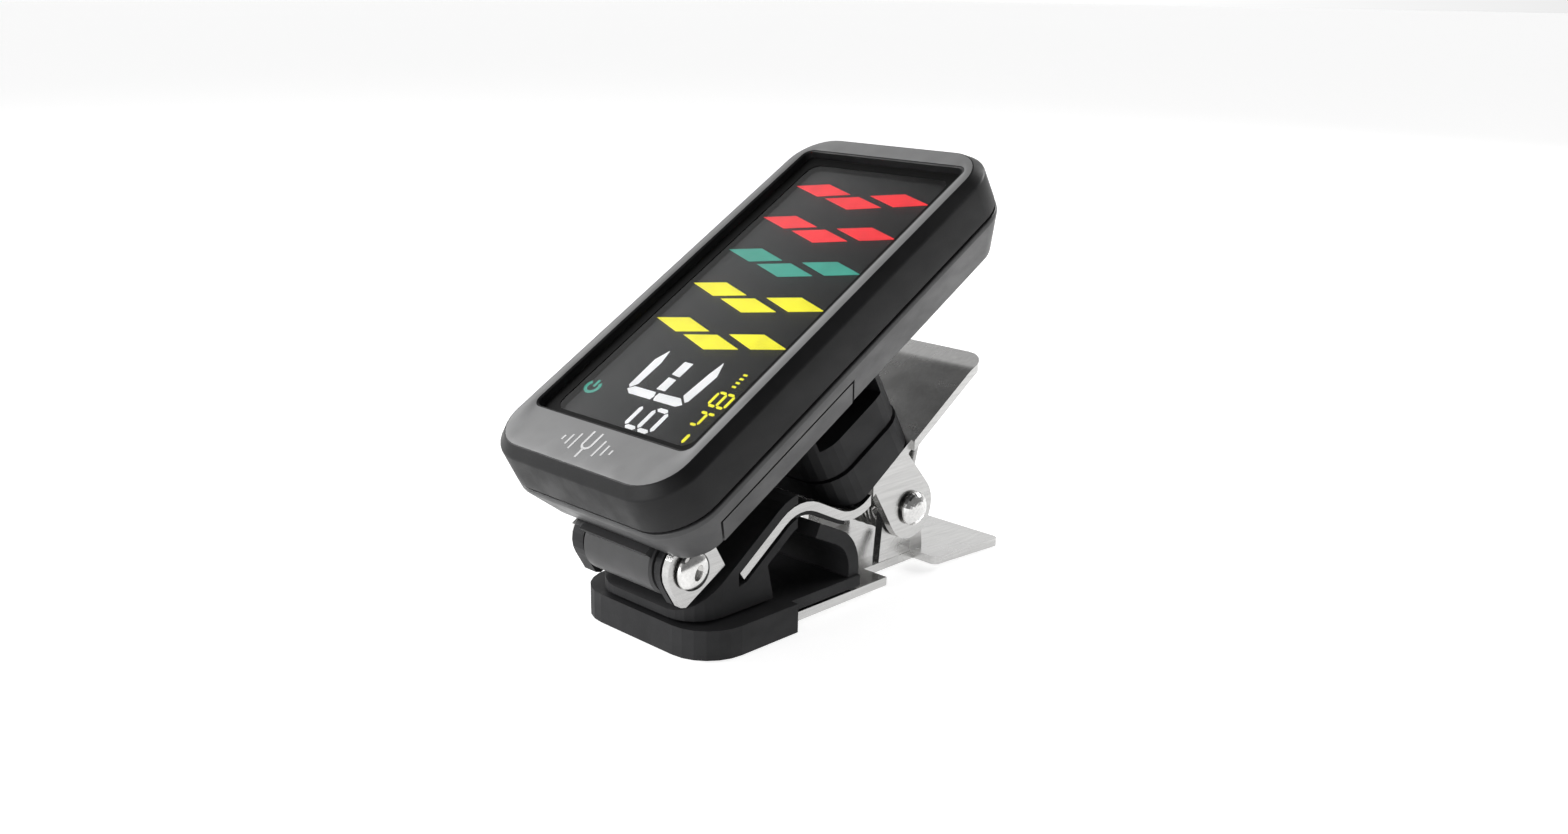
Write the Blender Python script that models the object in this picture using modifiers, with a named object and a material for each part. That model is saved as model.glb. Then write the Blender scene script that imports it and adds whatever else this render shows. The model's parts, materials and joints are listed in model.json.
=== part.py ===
"""A clip-on tuner: a sprung jaw clip, a swivelling arm and a tilting display head.

Each sub-part is one object. An empty stands on each joint's axis and carries what
turns about it: lower_jaw_frame > upper_jaw_frame > arm_frame > head_frame.
In every frame X runs across the object, Y towards the handles and Z away from the base.
"""

import math

import bmesh
import bpy
from mathutils import Matrix, Vector

MM = 0.001
COLLECTION = "clip_on_tuner"

# Clearances
GAP = 0.3 * MM          # between pieces that rest on or pass through each other
TURN_GAP = 0.3 * MM     # between faces that turn against each other
BURR = 0.05 * MM        # step between a bent ear and the edge it rises from
MERGE = 0.001 * MM      # points closer than this are one
AXIS_MARK = 5.0 * MM    # drawn size of a joint's frame

# Driving sizes of the clip; heights are taken from the pivot pin's axis
PIVOT_HEIGHT = 7.8 * MM
STEEL = 1.0 * MM
FOOT = 0.65 * MM        # rubber under the lower plate
PAD = 1.55 * MM         # rubber over the lower plate
LOWER_HALF = 9.6 * MM
LOWER_FRONT = 32.0 * MM
LOWER_WAIST = 6.5 * MM
LOWER_SHOULDER = 2.3 * MM
LOWER_TIP = 14.7 * MM
HANDLE_CORNER = 0.8 * MM
LOWER_EAR_OUT = 6.2 * MM
LOWER_EAR_R = 3.3 * MM
PIN_R = 1.2 * MM
PIN_HEAD_R = 2.0 * MM
PIN_HEAD = 1.1 * MM

UPPER_HALF = 8.0 * MM
UPPER_EAR_OUT = 7.5 * MM
UPPER_EAR_R = 3.7 * MM
JAW_SLOPE = 36.0        # degrees, front of the upper lever
DIP_SLOPE = -26.6
HANDLE_SLOPE = 33.4
TIP_SLOPE = 18.0
JAW_TIP = (-28.0 * MM, -0.3 * MM)   # top edge of the upper lever's front end
JAW_RISE = 10.8 * MM    # length of the front slope
JAW_FALL = 9.8 * MM     # length of the fall behind the hump
HANDLE_RUN = 24.0 * MM  # length of the straight rear run
HANDLE_TIP = 3.6 * MM
BEND_R = 5.0 * MM
UPPER_HANDLE_CORNER = 3.0 * MM
EAR_FRONT = -6.8 * MM
EAR_REAR = -1.5 * MM

BOOT_HALF = 10.6 * MM
BOOT_FRONT = 35.2 * MM
BOOT_FOOT_END = 22.0 * MM
BOOT_CORNER = 5.0 * MM
WALL_REAR = 11.1 * MM   # rear face of the curved wall at the back of the mouth
WALL_BEND_Z = -0.7 * MM
WALL_END = (-17.8 * MM, 2.1 * MM)
WALL_THICK = 1.6 * MM
WALL_R = 4.5 * MM
UPPER_BOOT_SIDE = 0.2 * MM  # how far the upper boot stands out past the lever
UPPER_BOOT_FRONT = 34.6 * MM
UPPER_BOOT_REAR = 19.8 * MM
UPPER_BOOT_CORNER = 4.0 * MM
UPPER_BOOT_SKIN = 1.0 * MM
NOSE_REAR = 24.2 * MM
NOSE_LIP = 0.9 * MM

COIL_R = 2.9 * MM
WIRE_R = 0.55 * MM
COIL_TURNS = 6
COIL_PITCH = 1.3 * MM
COIL_STEPS = 12
LEG = 6.5 * MM

# Driving sizes of the arm; its frame stands on the swivel's axis
ARM_TILT = 30.0
SWIVEL = (-8.05 * MM, 8.89 * MM)
ARM_HALF = 7.5 * MM
TURRET_FRONT = -7.0 * MM
TURRET_REAR = 7.3 * MM
TURRET_CORNER = 3.8 * MM
TURRET_FLOOR = 2.0 * MM
TURRET_SILL = 4.0 * MM
FRONT_POST = 1.4 * MM
REAR_POST = 2.5 * MM
BAR_BOTTOM = 6.35 * MM
HEAD_GAP = 0.65 * MM    # between the arm and the head above it
SADDLE_INSET = 0.2 * MM
SADDLE_REACH = 9.0 * MM  # below the swivel's centre, past the lever's dip
RIVET_R = 1.2 * MM
RIVET_HEAD_R = 2.4 * MM
RIVET_HEAD = 1.1 * MM
TAIL_R = 2.1 * MM
WASHER = 0.5 * MM
HINGE = (-26.4 * MM, 6.9 * MM)
HINGE_EAR_R = 3.0 * MM
HINGE_EAR_DROP = 3.0 * MM
HINGE_EAR_BACK = 3.7 * MM
LEFT_EAR = 1.8 * MM
RIGHT_EAR = 0.9 * MM
SIDE_PLATE = 0.9 * MM
SCREW_R = 1.0 * MM
SCREW_HEAD_R = 2.1 * MM
SCREW_HEAD = 1.0 * MM
NUT_R = 2.1 * MM
NUT = 1.2 * MM

# Driving sizes of the head; its details are placed from the middle of the face's front edge
FACE_HALF = 13.0 * MM
FACE_LENGTH = 54.75 * MM
FACE_CORNER = 4.5 * MM
KNUCKLE_DROP = 3.5 * MM  # tilt axis below the head's underside
HINGE_TO_FRONT = 2.3 * MM
CHAMFER = 1.0 * MM
SEAM_OUT = 1.1 * MM
SEAM = 5.2 * MM
BAND = 5.9 * MM
HEAD_DEPTH = 10.8 * MM
TAPER_IN = 1.0 * MM
SHELL = 1.5 * MM
FLOOR = 1.2 * MM
WINDOW_SIDE = 1.45 * MM
WINDOW_FRONT = 5.65 * MM
WINDOW_REAR = 2.49 * MM
WINDOW_CORNER = 0.8 * MM
RECESS = 0.85 * MM
LENS = 0.9 * MM
LCD = 1.6 * MM
LCD_INSET = 1.3 * MM
BACKLIGHT = 0.8 * MM
BACKLIGHT_INSET = 2.0 * MM
CONNECTOR = 2.3 * MM
BOARD = 0.6 * MM
BOARD_INSET = 0.9 * MM
BOARD_REAR = 1.35 * MM
KNUCKLE_R = 3.3 * MM
KNUCKLE_WEB = 1.55 * MM
WASHER_R = 2.4 * MM
CELL_R = 10.0 * MM
CELL = 3.2 * MM
CELL_Y = 15.1 * MM
CONTACT = 0.25 * MM
DOOR = 0.8 * MM
DOOR_TOP = 7.8 * MM
DOOR_MARGIN = 0.4 * MM
DOOR_FLANGE = 1.3 * MM
BUTTONS = {"power": (33.0 * MM, 7.0 * MM), "mode": (42.5 * MM, 5.0 * MM)}
BUTTON_PROUD = 0.45 * MM
BUTTON_TOP = 6.4 * MM
BUTTON_BOTTOM = 7.9 * MM
BUTTON_TRAVEL = 0.35 * MM
BUTTON_FLANGE = 0.5 * MM
BUTTON_GAP = 0.2 * MM   # round a button's cap in its hole
BOSS_SIDE = 3.2 * MM
BOSS_FRONT = 2.8 * MM
BOSS_R = 1.4 * MM
BOSS_END = 6.5 * MM
CASE_SCREW_R = 0.6 * MM
CASE_SCREW_TOP = 3.0 * MM
CASE_SCREW_HEAD_R = 1.1 * MM
CASE_SCREW_HEAD = 0.8 * MM
PIEZO_R = 5.0 * MM
PIEZO_Y = 44.0 * MM
CHIP_Y = 38.0 * MM
CHIP_HALF = 3.0 * MM
CHIP = 1.0 * MM
LEAF_HALF = 3.0 * MM     # half width of a cell contact along the head
LEAF_REACH = 4.0 * MM
SWITCH = 3.0 * MM
SWITCH_HALF = 2.0 * MM

# Sizes that follow from the driving sizes
UPPER_BOOT_HALF = UPPER_HALF + UPPER_BOOT_SIDE
SADDLE_HALF = UPPER_HALF - SADDLE_INSET
BAR_TOP = HINGE[1] + KNUCKLE_DROP - HEAD_GAP
HINGE_TO_FACE = HEAD_DEPTH + KNUCKLE_DROP
WINDOW = (FACE_HALF - WINDOW_SIDE, WINDOW_FRONT, FACE_LENGTH - WINDOW_REAR)
BOSS = (FACE_HALF - BOSS_SIDE, BOSS_FRONT)
DOOR_SPAN = CELL_R + DOOR_MARGIN
DOOR_LEFT = -(CELL_R + GAP)
PLATE_Z = FOOT - PIVOT_HEIGHT
PAD_Z = PLATE_Z + STEEL + PAD
LENS_BOTTOM = RECESS + LENS
LCD_TOP = LENS_BOTTOM + GAP
LCD_BOTTOM = LCD_TOP + LCD
LIGHT_BOTTOM = LCD_BOTTOM + GAP + BACKLIGHT
BOARD_TOP = LIGHT_BOTTOM + GAP
BOARD_BOTTOM = BOARD_TOP + BOARD
CELL_BOTTOM = HEAD_DEPTH - DOOR - GAP
CELL_TOP = CELL_BOTTOM - CELL
KNUCKLE_LEFT = -(ARM_HALF - LEFT_EAR - TURN_GAP)
KNUCKLE_RIGHT = ARM_HALF - SIDE_PLATE - GAP - RIGHT_EAR - TURN_GAP


# ---------------------------------------------------------------- scene and looks

def clear_scene():
    for obj in list(bpy.data.objects):
        bpy.data.objects.remove(obj, do_unlink=True)


def new_collection(name, hidden=False):
    collection = bpy.data.collections.new(name)
    bpy.context.scene.collection.children.link(collection)
    collection.hide_render = hidden
    return collection


def new_material(name, color, roughness, metallic=0.0):
    material = bpy.data.materials.new(name)
    material.use_nodes = True
    shader = material.node_tree.nodes["Principled BSDF"]
    shader.inputs["Base Color"].default_value = (*color, 1.0)
    shader.inputs["Roughness"].default_value = roughness
    shader.inputs["Metallic"].default_value = metallic
    return material


def new_frame(name, parent=None, place=(0, 0, 0), tilt=0.0):
    """An empty on a joint's axis, turned about X by tilt degrees."""
    frame = bpy.data.objects.new(name, None)
    frame.empty_display_size = AXIS_MARK
    parts.objects.link(frame)
    frame.parent = parent
    frame.location = place
    frame.rotation_euler.x = math.radians(tilt)
    return frame


# ---------------------------------------------------------------- meshes

def mesh_from(bm):
    bmesh.ops.recalc_face_normals(bm, faces=bm.faces)
    mesh = bpy.data.meshes.new("shape")
    bm.to_mesh(mesh)
    bm.free()
    return mesh


def block(x, y, z):
    """A box from three (low, high) pairs."""
    bm = bmesh.new()
    size = Vector([high - low for low, high in (x, y, z)])
    middle = Vector([(high + low) / 2 for low, high in (x, y, z)])
    bmesh.ops.create_cube(bm, size=1.0, matrix=Matrix.Translation(middle) @ Matrix.Diagonal((*size, 1)))
    return mesh_from(bm)


def cylinder(radius, low, high, axis="Z", centre=(0, 0), sides=32, cone=None):
    """A cylinder along Z through (x, y), or along X through (y, z)."""
    bm = bmesh.new()
    top = radius if cone is None else cone
    bmesh.ops.create_cone(bm, cap_ends=True, segments=sides, radius1=radius, radius2=top, depth=high - low)
    middle = (low + high) / 2
    if axis == "X":
        turn = Matrix.Rotation(math.radians(90), 4, "Y")
        place = Matrix.Translation((middle, *centre))
    else:
        turn = Matrix.Identity(4)
        place = Matrix.Translation((*centre, middle))
    bmesh.ops.transform(bm, matrix=place @ turn, verts=bm.verts)
    return mesh_from(bm)


def sheet(outline, low, high, axis):
    """A flat outline given a thickness: (x, y) along Z, (y, z) along X, or (x, z) along Y."""
    curve = bpy.data.curves.new("outline", "CURVE")
    curve.dimensions = "2D"
    curve.fill_mode = "BOTH"
    curve.extrude = (high - low) / 2
    spline = curve.splines.new("POLY")
    spline.points.add(len(outline) - 1)
    for point, (u, v) in zip(spline.points, outline):
        point.co = (u, v, 0, 1)
    spline.use_cyclic_u = True
    guide = bpy.data.objects.new("outline", curve)
    bpy.context.scene.collection.objects.link(guide)
    graph = bpy.context.evaluated_depsgraph_get()
    mesh = bpy.data.meshes.new_from_object(guide.evaluated_get(graph))
    bpy.data.objects.remove(guide)
    turns = {
        "Z": Matrix.Identity(3),
        "X": Matrix(((0, 0, 1), (1, 0, 0), (0, 1, 0))),
        "Y": Matrix(((1, 0, 0), (0, 0, 1), (0, 1, 0))),
    }
    shift = Vector((0, 0, (low + high) / 2))
    bm = bmesh.new()
    bm.from_mesh(mesh)
    bmesh.ops.translate(bm, vec=shift, verts=bm.verts)
    bmesh.ops.transform(bm, matrix=turns[axis].to_4x4(), verts=bm.verts)
    bmesh.ops.remove_doubles(bm, verts=bm.verts, dist=MERGE)
    return mesh_from(bm)


def loft(sections):
    """A closed solid through (outline, z) sections that have equal numbers of points."""
    bm = bmesh.new()
    rings = [[bm.verts.new((x, y, z)) for x, y in outline] for outline, z in sections]
    for ring, following in zip(rings, rings[1:]):
        for i in range(len(ring)):
            j = (i + 1) % len(ring)
            bm.faces.new((ring[i], ring[j], following[j], following[i]))
    bm.faces.new(rings[0])
    bm.faces.new(rings[-1])
    return mesh_from(bm)


def moved(mesh, place=(0, 0, 0), tilt=0.0):
    """The mesh tilted about X and then placed."""
    mesh.transform(Matrix.Translation(place) @ Matrix.Rotation(math.radians(tilt), 4, "X"))
    return mesh


# ---------------------------------------------------------------- outlines

def corner_arc(before, corner, after, radius, steps):
    """Points on the arc that rounds a corner."""
    into = (Vector(before) - Vector(corner)).normalized()
    out = (Vector(after) - Vector(corner)).normalized()
    half = into.angle(out) / 2
    if radius <= 0 or abs(half - math.pi / 2) < 1e-4:
        return [tuple(corner)]
    centre = Vector(corner) + (into + out).normalized() * (radius / math.sin(half))
    start = Vector(corner) + into * (radius / math.tan(half)) - centre
    end = Vector(corner) + out * (radius / math.tan(half)) - centre
    sweep = start.angle_signed(end)
    return [tuple(centre + Matrix.Rotation(-sweep * k / steps, 2) @ start) for k in range(steps + 1)]


def rounded(points, radii, closed=True, steps=6):
    """The polyline with each corner rounded by its radius."""
    count = len(points)
    line = []
    for i, point in enumerate(points):
        if not closed and i in (0, count - 1):
            line.append(tuple(point))
            continue
        line += corner_arc(points[i - 1], point, points[(i + 1) % count], radii[i], steps)
    return line


def rectangle(half, front, rear, radius, steps=6):
    corners = [(-half, front), (half, front), (half, rear), (-half, rear)]
    return rounded(corners, [radius] * 4, steps=steps)


def offset_line(line, distance):
    """An open polyline moved to its left side by distance, with mitred corners."""
    moved_line = []
    for i, point in enumerate(line):
        before = Vector(line[max(i - 1, 0)])
        after = Vector(line[min(i + 1, len(line) - 1)])
        here = Vector(point)
        first = (here - before).normalized() if i > 0 else (after - here).normalized()
        second = (after - here).normalized() if i < len(line) - 1 else first
        normal = Vector((-(first + second).y, (first + second).x)).normalized()
        stretch = max(normal.dot(Vector((-first.y, first.x))), 0.5)
        moved_line.append(tuple(here + normal * (distance / stretch)))
    return moved_line


def along(slope, length, start):
    angle = math.radians(slope)
    return (start[0] + length * math.cos(angle), start[1] + length * math.sin(angle))


def stretch_of(line, low, high):
    """The part of an open polyline whose first coordinate lies between low and high."""
    kept = []
    for a, b in zip(line, line[1:]):
        for limit in (low, high):
            if (a[0] - limit) * (b[0] - limit) < 0:
                share = (limit - a[0]) / (b[0] - a[0])
                kept.append((limit, a[1] + share * (b[1] - a[1])))
        if low <= b[0] <= high:
            kept.append(tuple(b))
    if low <= line[0][0] <= high:
        kept.append(tuple(line[0]))
    return sorted(set(kept))


def disc_lug(foot, radius, steps=14):
    """A lug's outline: a round end about (0, 0) joined to the two foot points by tangents."""
    def tangent(point, side):
        reach = math.hypot(*point)
        return math.atan2(point[1], point[0]) + side * math.acos(radius / reach)
    start, end = tangent(foot[1], -1), tangent(foot[0], 1)
    while end > start:
        end -= 2 * math.pi
    angles = [start + (end - start) * k / steps for k in range(steps + 1)]
    return [foot[0], foot[1]] + [(radius * math.cos(a), radius * math.sin(a)) for a in angles]


# ---------------------------------------------------------------- objects

def part(name, mesh, frame, material):
    obj = bpy.data.objects.new(name, mesh)
    parts.objects.link(obj)
    obj.parent = frame
    mesh.materials.clear()
    mesh.materials.append(material)
    mesh.name = name
    mesh.shade_smooth()
    mesh.set_sharp_from_angle(angle=math.radians(35))
    return obj


def shaped(obj, operation, mesh):
    """A Boolean on obj by a helper that stands in the same frame."""
    helper = bpy.data.objects.new(f"{obj.name}_{operation.lower()}_{len(obj.modifiers)}", mesh)
    cutters.objects.link(helper)
    helper.parent = obj.parent
    helper.location = obj.location
    helper.hide_render = True
    helper.display_type = "WIRE"
    modifier = obj.modifiers.new(operation.title(), "BOOLEAN")
    modifier.operation = operation
    modifier.object = helper


def cut(obj, mesh):
    shaped(obj, "DIFFERENCE", mesh)


def add(obj, mesh):
    shaped(obj, "UNION", mesh)


def keep(obj, mesh):
    shaped(obj, "INTERSECT", mesh)


def turned(name, profile, frame, material, axis="Z", place=(0, 0, 0)):
    """A Screw about Z of (radius, height) points that run down the outer side."""
    bm = bmesh.new()
    points = [bm.verts.new((radius, 0, height)) for radius, height in profile]
    for a, b in zip(points, points[1:]):
        bm.edges.new((a, b))
    mesh = bpy.data.meshes.new(name)
    bm.to_mesh(mesh)
    bm.free()
    obj = part(name, mesh, frame, material)
    obj.location = place
    if axis == "X":
        obj.rotation_euler.y = math.radians(90)
    screw = obj.modifiers.new("Screw", "SCREW")
    screw.steps = 24
    screw.render_steps = 24
    screw.use_merge_vertices = True
    screw.merge_threshold = 0.00001
    screw.use_smooth_shade = True
    return obj


# ---------------------------------------------------------------- the lower jaw

def make_lower_lever(frame):
    """Flat stamped plate with a handle that drops to the ground line and two upright ears."""
    top = PLATE_Z + STEEL
    drop_from = LOWER_SHOULDER + HANDLE_CORNER
    slope = FOOT / (LOWER_TIP - drop_from)
    beyond = 2 * LOWER_TIP
    line = [(-2 * LOWER_FRONT, top), (drop_from, top), (beyond, top - slope * (beyond - drop_from))]
    side = line + [(y, z - STEEL) for y, z in line][::-1]
    plate = part("lower_lever", sheet(side, -BOOT_HALF, BOOT_HALF, "X"), frame, steel)
    low, high = PLATE_Z - 2 * FOOT, top + STEEL
    plan = [
        (-LOWER_HALF, -LOWER_FRONT), (LOWER_HALF, -LOWER_FRONT),
        (LOWER_HALF, -LOWER_WAIST), (LOWER_EAR_OUT, -LOWER_WAIST),
        (LOWER_EAR_OUT, LOWER_SHOULDER), (LOWER_HALF, LOWER_SHOULDER),
        (LOWER_HALF, LOWER_TIP), (-LOWER_HALF, LOWER_TIP),
        (-LOWER_HALF, LOWER_SHOULDER), (-LOWER_EAR_OUT, LOWER_SHOULDER),
        (-LOWER_EAR_OUT, -LOWER_WAIST), (-LOWER_HALF, -LOWER_WAIST),
    ]
    jaw_r = BOOT_CORNER - (BOOT_HALF - LOWER_HALF)
    radii = [jaw_r, jaw_r, 0, 0, 0] + [HANDLE_CORNER] * 4 + [0, 0, 0]
    keep(plate, sheet(rounded(plan, radii, steps=4), low, high, "Z"))
    foot = LOWER_EAR_R + FOOT
    lug = disc_lug([(foot, PLATE_Z + STEEL / 2), (-foot, PLATE_Z + STEEL / 2)], LOWER_EAR_R)
    for side_sign in (-1, 1):
        x = sorted((side_sign * (LOWER_EAR_OUT - STEEL), side_sign * (LOWER_EAR_OUT - BURR)))
        add(plate, sheet(lug, *x, "X"))
    cut(plate, cylinder(PIN_R + GAP, -LOWER_HALF, LOWER_HALF, "X"))
    return plate


def make_lower_boot(frame):
    """Rubber boot over the lower plate's front, with the curved wall behind the mouth."""
    ground = -PIVOT_HEIGHT
    front, rear = -BOOT_FRONT, -WALL_REAR
    corners = [(-BOOT_HALF, front), (BOOT_HALF, front), (BOOT_HALF, rear), (-BOOT_HALF, rear)]
    outline = rounded(corners, [BOOT_CORNER, BOOT_CORNER, 0, 0])
    boot = part("lower_jaw_boot", sheet(outline, ground, PAD_Z, "Z"), frame, rubber)
    wide = (-BOOT_HALF - GAP, BOOT_HALF + GAP)
    over_plate = PLATE_Z + STEEL + GAP
    cut(boot, block(wide, (-BOOT_FOOT_END, 0), (ground - GAP, over_plate)))
    pocket = LOWER_HALF + GAP
    cut(boot, block((-pocket, pocket), (-LOWER_FRONT - GAP, 0), (PLATE_Z - GAP, over_plate)))
    for side_sign in (-1, 1):
        x = sorted((side_sign * LOWER_HALF, side_sign * (BOOT_HALF + GAP)))
        cut(boot, block(x, (-BOOT_FOOT_END, 0), (ground, PAD_Z + GAP)))
    middle = -WALL_REAR - WALL_THICK / 2
    spine = [(middle, over_plate + GAP), (middle, WALL_BEND_Z), WALL_END]
    spine = rounded(spine, [0, WALL_R, 0], closed=False, steps=8)
    band = offset_line(spine, -WALL_THICK / 2) + offset_line(spine, WALL_THICK / 2)[::-1]
    add(boot, sheet(band, -LOWER_HALF + GAP, LOWER_HALF - GAP, "X"))
    return boot


def make_torsion_spring(frame):
    """Coil on the pivot pin whose two legs press the handles apart."""
    under_handle = lever_height(LEG) - (STEEL + GAP + WIRE_R) / math.cos(math.radians(HANDLE_SLOPE))
    low = (LEG, PLATE_Z + STEEL + GAP + WIRE_R)
    high = (LEG - WIRE_R, under_handle)
    start = math.atan2(low[1], low[0]) + math.acos(COIL_R / math.hypot(*low))
    end = math.atan2(high[1], high[0]) - math.acos(COIL_R / math.hypot(*high))
    sweep = end - start + 2 * math.pi * COIL_TURNS
    count = round(sweep / (2 * math.pi) * COIL_STEPS)
    half = COIL_TURNS * COIL_PITCH / 2
    points = [Vector((-half, *low))]
    for k in range(count + 1):
        angle = start + sweep * k / count
        x = half * (2 * k / count - 1)
        points.append(Vector((x, COIL_R * math.cos(angle), COIL_R * math.sin(angle))))
    points.append(Vector((half, *high)))
    curve = bpy.data.curves.new("torsion_spring", "CURVE")
    curve.dimensions = "3D"
    curve.bevel_depth = WIRE_R
    curve.bevel_resolution = 2
    curve.use_fill_caps = True
    spline = curve.splines.new("POLY")
    spline.points.add(len(points) - 1)
    for point, co in zip(spline.points, points):
        point.co = (*co, 1)
    curve.materials.append(steel)
    spring = bpy.data.objects.new("torsion_spring", curve)
    parts.objects.link(spring)
    spring.parent = frame
    return spring


def make_pivot_pin(frame):
    """Headed pin through the four ears."""
    head_in = UPPER_EAR_OUT + GAP
    head_out = head_in + PIN_HEAD
    dome = [(PIN_HEAD_R * math.cos(a), head_in + PIN_HEAD * math.sin(a))
            for a in [math.radians(10 * k) for k in range(9, 0, -1)]]
    half = [(0, head_out)] + dome[1:] + [(PIN_HEAD_R, head_in), (PIN_R, head_in)]
    other = [(r, -z) for r, z in half][::-1]
    return turned("pivot_pin", half + other, frame, steel, axis="X")


# ---------------------------------------------------------------- the upper jaw

def lever_line():
    """Top edge of the upper lever seen from the side, from jaw tip to handle tip."""
    hump = along(JAW_SLOPE, JAW_RISE, JAW_TIP)
    dip = along(DIP_SLOPE, JAW_FALL, hump)
    bend = along(HANDLE_SLOPE, HANDLE_RUN, dip)
    tip = along(TIP_SLOPE, HANDLE_TIP, bend)
    points = [JAW_TIP, hump, dip, bend, tip]
    return rounded(points, [0, BEND_R + STEEL / 2, BEND_R - STEEL / 2, BEND_R, 0], closed=False, steps=6)


def lever_height(y):
    """Height of the lever's top edge at y."""
    line = lever_line()
    for a, b in zip(line, line[1:]):
        if a[0] <= y <= b[0]:
            return a[1] + (b[1] - a[1]) * (y - a[0]) / (b[0] - a[0])
    raise ValueError("y lies past the lever's ends")


def make_upper_lever(frame):
    """Stamped lever: sloping jaw, hump, dip, ears folded down, and the handle."""
    line = lever_line()
    side = line + offset_line(line, -STEEL)[::-1]
    lever = part("upper_lever", sheet(side, -BOOT_HALF, BOOT_HALF, "X"), frame, steel)
    tip = line[-1][0] - BURR
    relief = EAR_FRONT - STEEL
    low, high = JAW_TIP[1] - 3 * STEEL, line[-1][1] + STEEL
    right = [
        (UPPER_HALF, JAW_TIP[0] - STEEL), (UPPER_HALF, relief), (LOWER_EAR_OUT, relief),
        (LOWER_EAR_OUT, EAR_FRONT - BURR), (UPPER_EAR_OUT, EAR_FRONT - BURR),
        (UPPER_EAR_OUT, EAR_REAR + STEEL), (UPPER_HALF, EAR_REAR + STEEL), (UPPER_HALF, tip),
    ]
    plan = right + [(-x, y) for x, y in right][::-1]
    radii = [0] * 7 + [UPPER_HANDLE_CORNER] * 2 + [0] * 7
    keep(lever, sheet(rounded(plan, radii), low, high, "Z"))
    inset = STEEL / 4
    feet = [(y, lever_height(y) - inset) for y in (EAR_FRONT, EAR_REAR)]
    lug = disc_lug(feet, UPPER_EAR_R)
    for side_sign in (-1, 1):
        x = sorted((side_sign * (UPPER_EAR_OUT - STEEL), side_sign * (UPPER_EAR_OUT - BURR)))
        add(lever, sheet(lug, *x, "X"))
    cut(lever, cylinder(PIN_R + GAP, -UPPER_HALF, UPPER_HALF, "X"))
    hole = cylinder(RIVET_R + GAP, -SADDLE_REACH, 0, sides=24)
    cut(lever, moved(hole, (0, *SWIVEL), ARM_TILT))
    return lever


def make_upper_boot(frame):
    """Rubber boot folded round the upper lever's front, with the nose that meets the lower pad."""
    line = lever_line()
    rear = -UPPER_BOOT_REAR
    front = -UPPER_BOOT_FRONT
    slope = math.tan(math.radians(JAW_SLOPE))
    tip_gap = GAP / math.cos(math.radians(JAW_SLOPE))
    above = stretch_of(offset_line(line, GAP), line[0][0], rear)
    above = [(JAW_TIP[0] - tip_gap, above[0][1] - slope * tip_gap)] + above
    top = stretch_of(offset_line(line, GAP + UPPER_BOOT_SKIN), line[0][0], rear)
    below = stretch_of(offset_line(line, -STEEL - GAP), line[0][0], rear)
    below = [(JAW_TIP[0] - tip_gap, below[0][1] - slope * tip_gap)] + below
    lining = stretch_of(offset_line(line, -STEEL - GAP - UPPER_BOOT_SKIN), -NOSE_REAR, rear)
    bottom = PAD_Z + GAP
    lip = top[0][1] - slope * (top[0][0] - front)
    outline = [(front, bottom), (front, max(lip, bottom + NOSE_LIP))] + top
    outline += above[::-1] + below + lining[::-1]
    outline += [(-NOSE_REAR + NOSE_LIP, bottom)]
    boot = part("upper_jaw_boot", sheet(outline, -UPPER_BOOT_HALF, UPPER_BOOT_HALF, "X"), frame, rubber)
    half = UPPER_BOOT_HALF
    corners = [(-half, front), (half, front), (half, rear + STEEL), (-half, rear + STEEL)]
    plan = rounded(corners, [UPPER_BOOT_CORNER, UPPER_BOOT_CORNER, 0, 0])
    keep(boot, sheet(plan, bottom - STEEL, top[-1][1] + BEND_R, "Z"))
    return boot


def make_swivel_base(frame):
    """Moulded saddle that fills the lever's dip and carries the swivel."""
    turret = rectangle(SADDLE_HALF, TURRET_FRONT, TURRET_REAR, TURRET_CORNER)
    body = moved(sheet(turret, -SADDLE_REACH, -TURN_GAP / 2, "Z"), (0, *SWIVEL), ARM_TILT)
    base = part("swivel_base", body, frame, plastic)
    line = offset_line(lever_line(), GAP)
    under = [(line[0][0], -3 * PIVOT_HEIGHT)] + line + [(line[-1][0], -3 * PIVOT_HEIGHT)]
    cut(base, sheet(under, -2 * UPPER_HALF, 2 * UPPER_HALF, "X"))
    hole = cylinder(RIVET_R + GAP, -2 * SADDLE_REACH, STEEL, sides=24)
    cut(base, moved(hole, (0, *SWIVEL), ARM_TILT))
    return base


def make_swivel_rivet(frame):
    """Rivet from the arm's floor down through the saddle and the lever."""
    head = TURRET_FLOOR + 2 * GAP + WASHER
    drop = (SWIVEL[1] - lever_height(SWIVEL[0])) * math.cos(math.radians(HANDLE_SLOPE))
    tail = -(drop + STEEL + 2 * GAP)
    top, low = head + RIVET_HEAD, tail - RIVET_HEAD
    edge = RIVET_HEAD_R - RIVET_HEAD / 2
    upper = [(0, top), (edge, top), (RIVET_HEAD_R, head + RIVET_HEAD / 2), (RIVET_HEAD_R, head)]
    shank = [(RIVET_R, head), (RIVET_R, tail)]
    lower = [(TAIL_R, tail), (TAIL_R, tail - RIVET_HEAD / 2), (TAIL_R - RIVET_HEAD / 2, low), (0, low)]
    return turned("swivel_rivet", upper + shank + lower, frame, steel)


# ---------------------------------------------------------------- the arm

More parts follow.
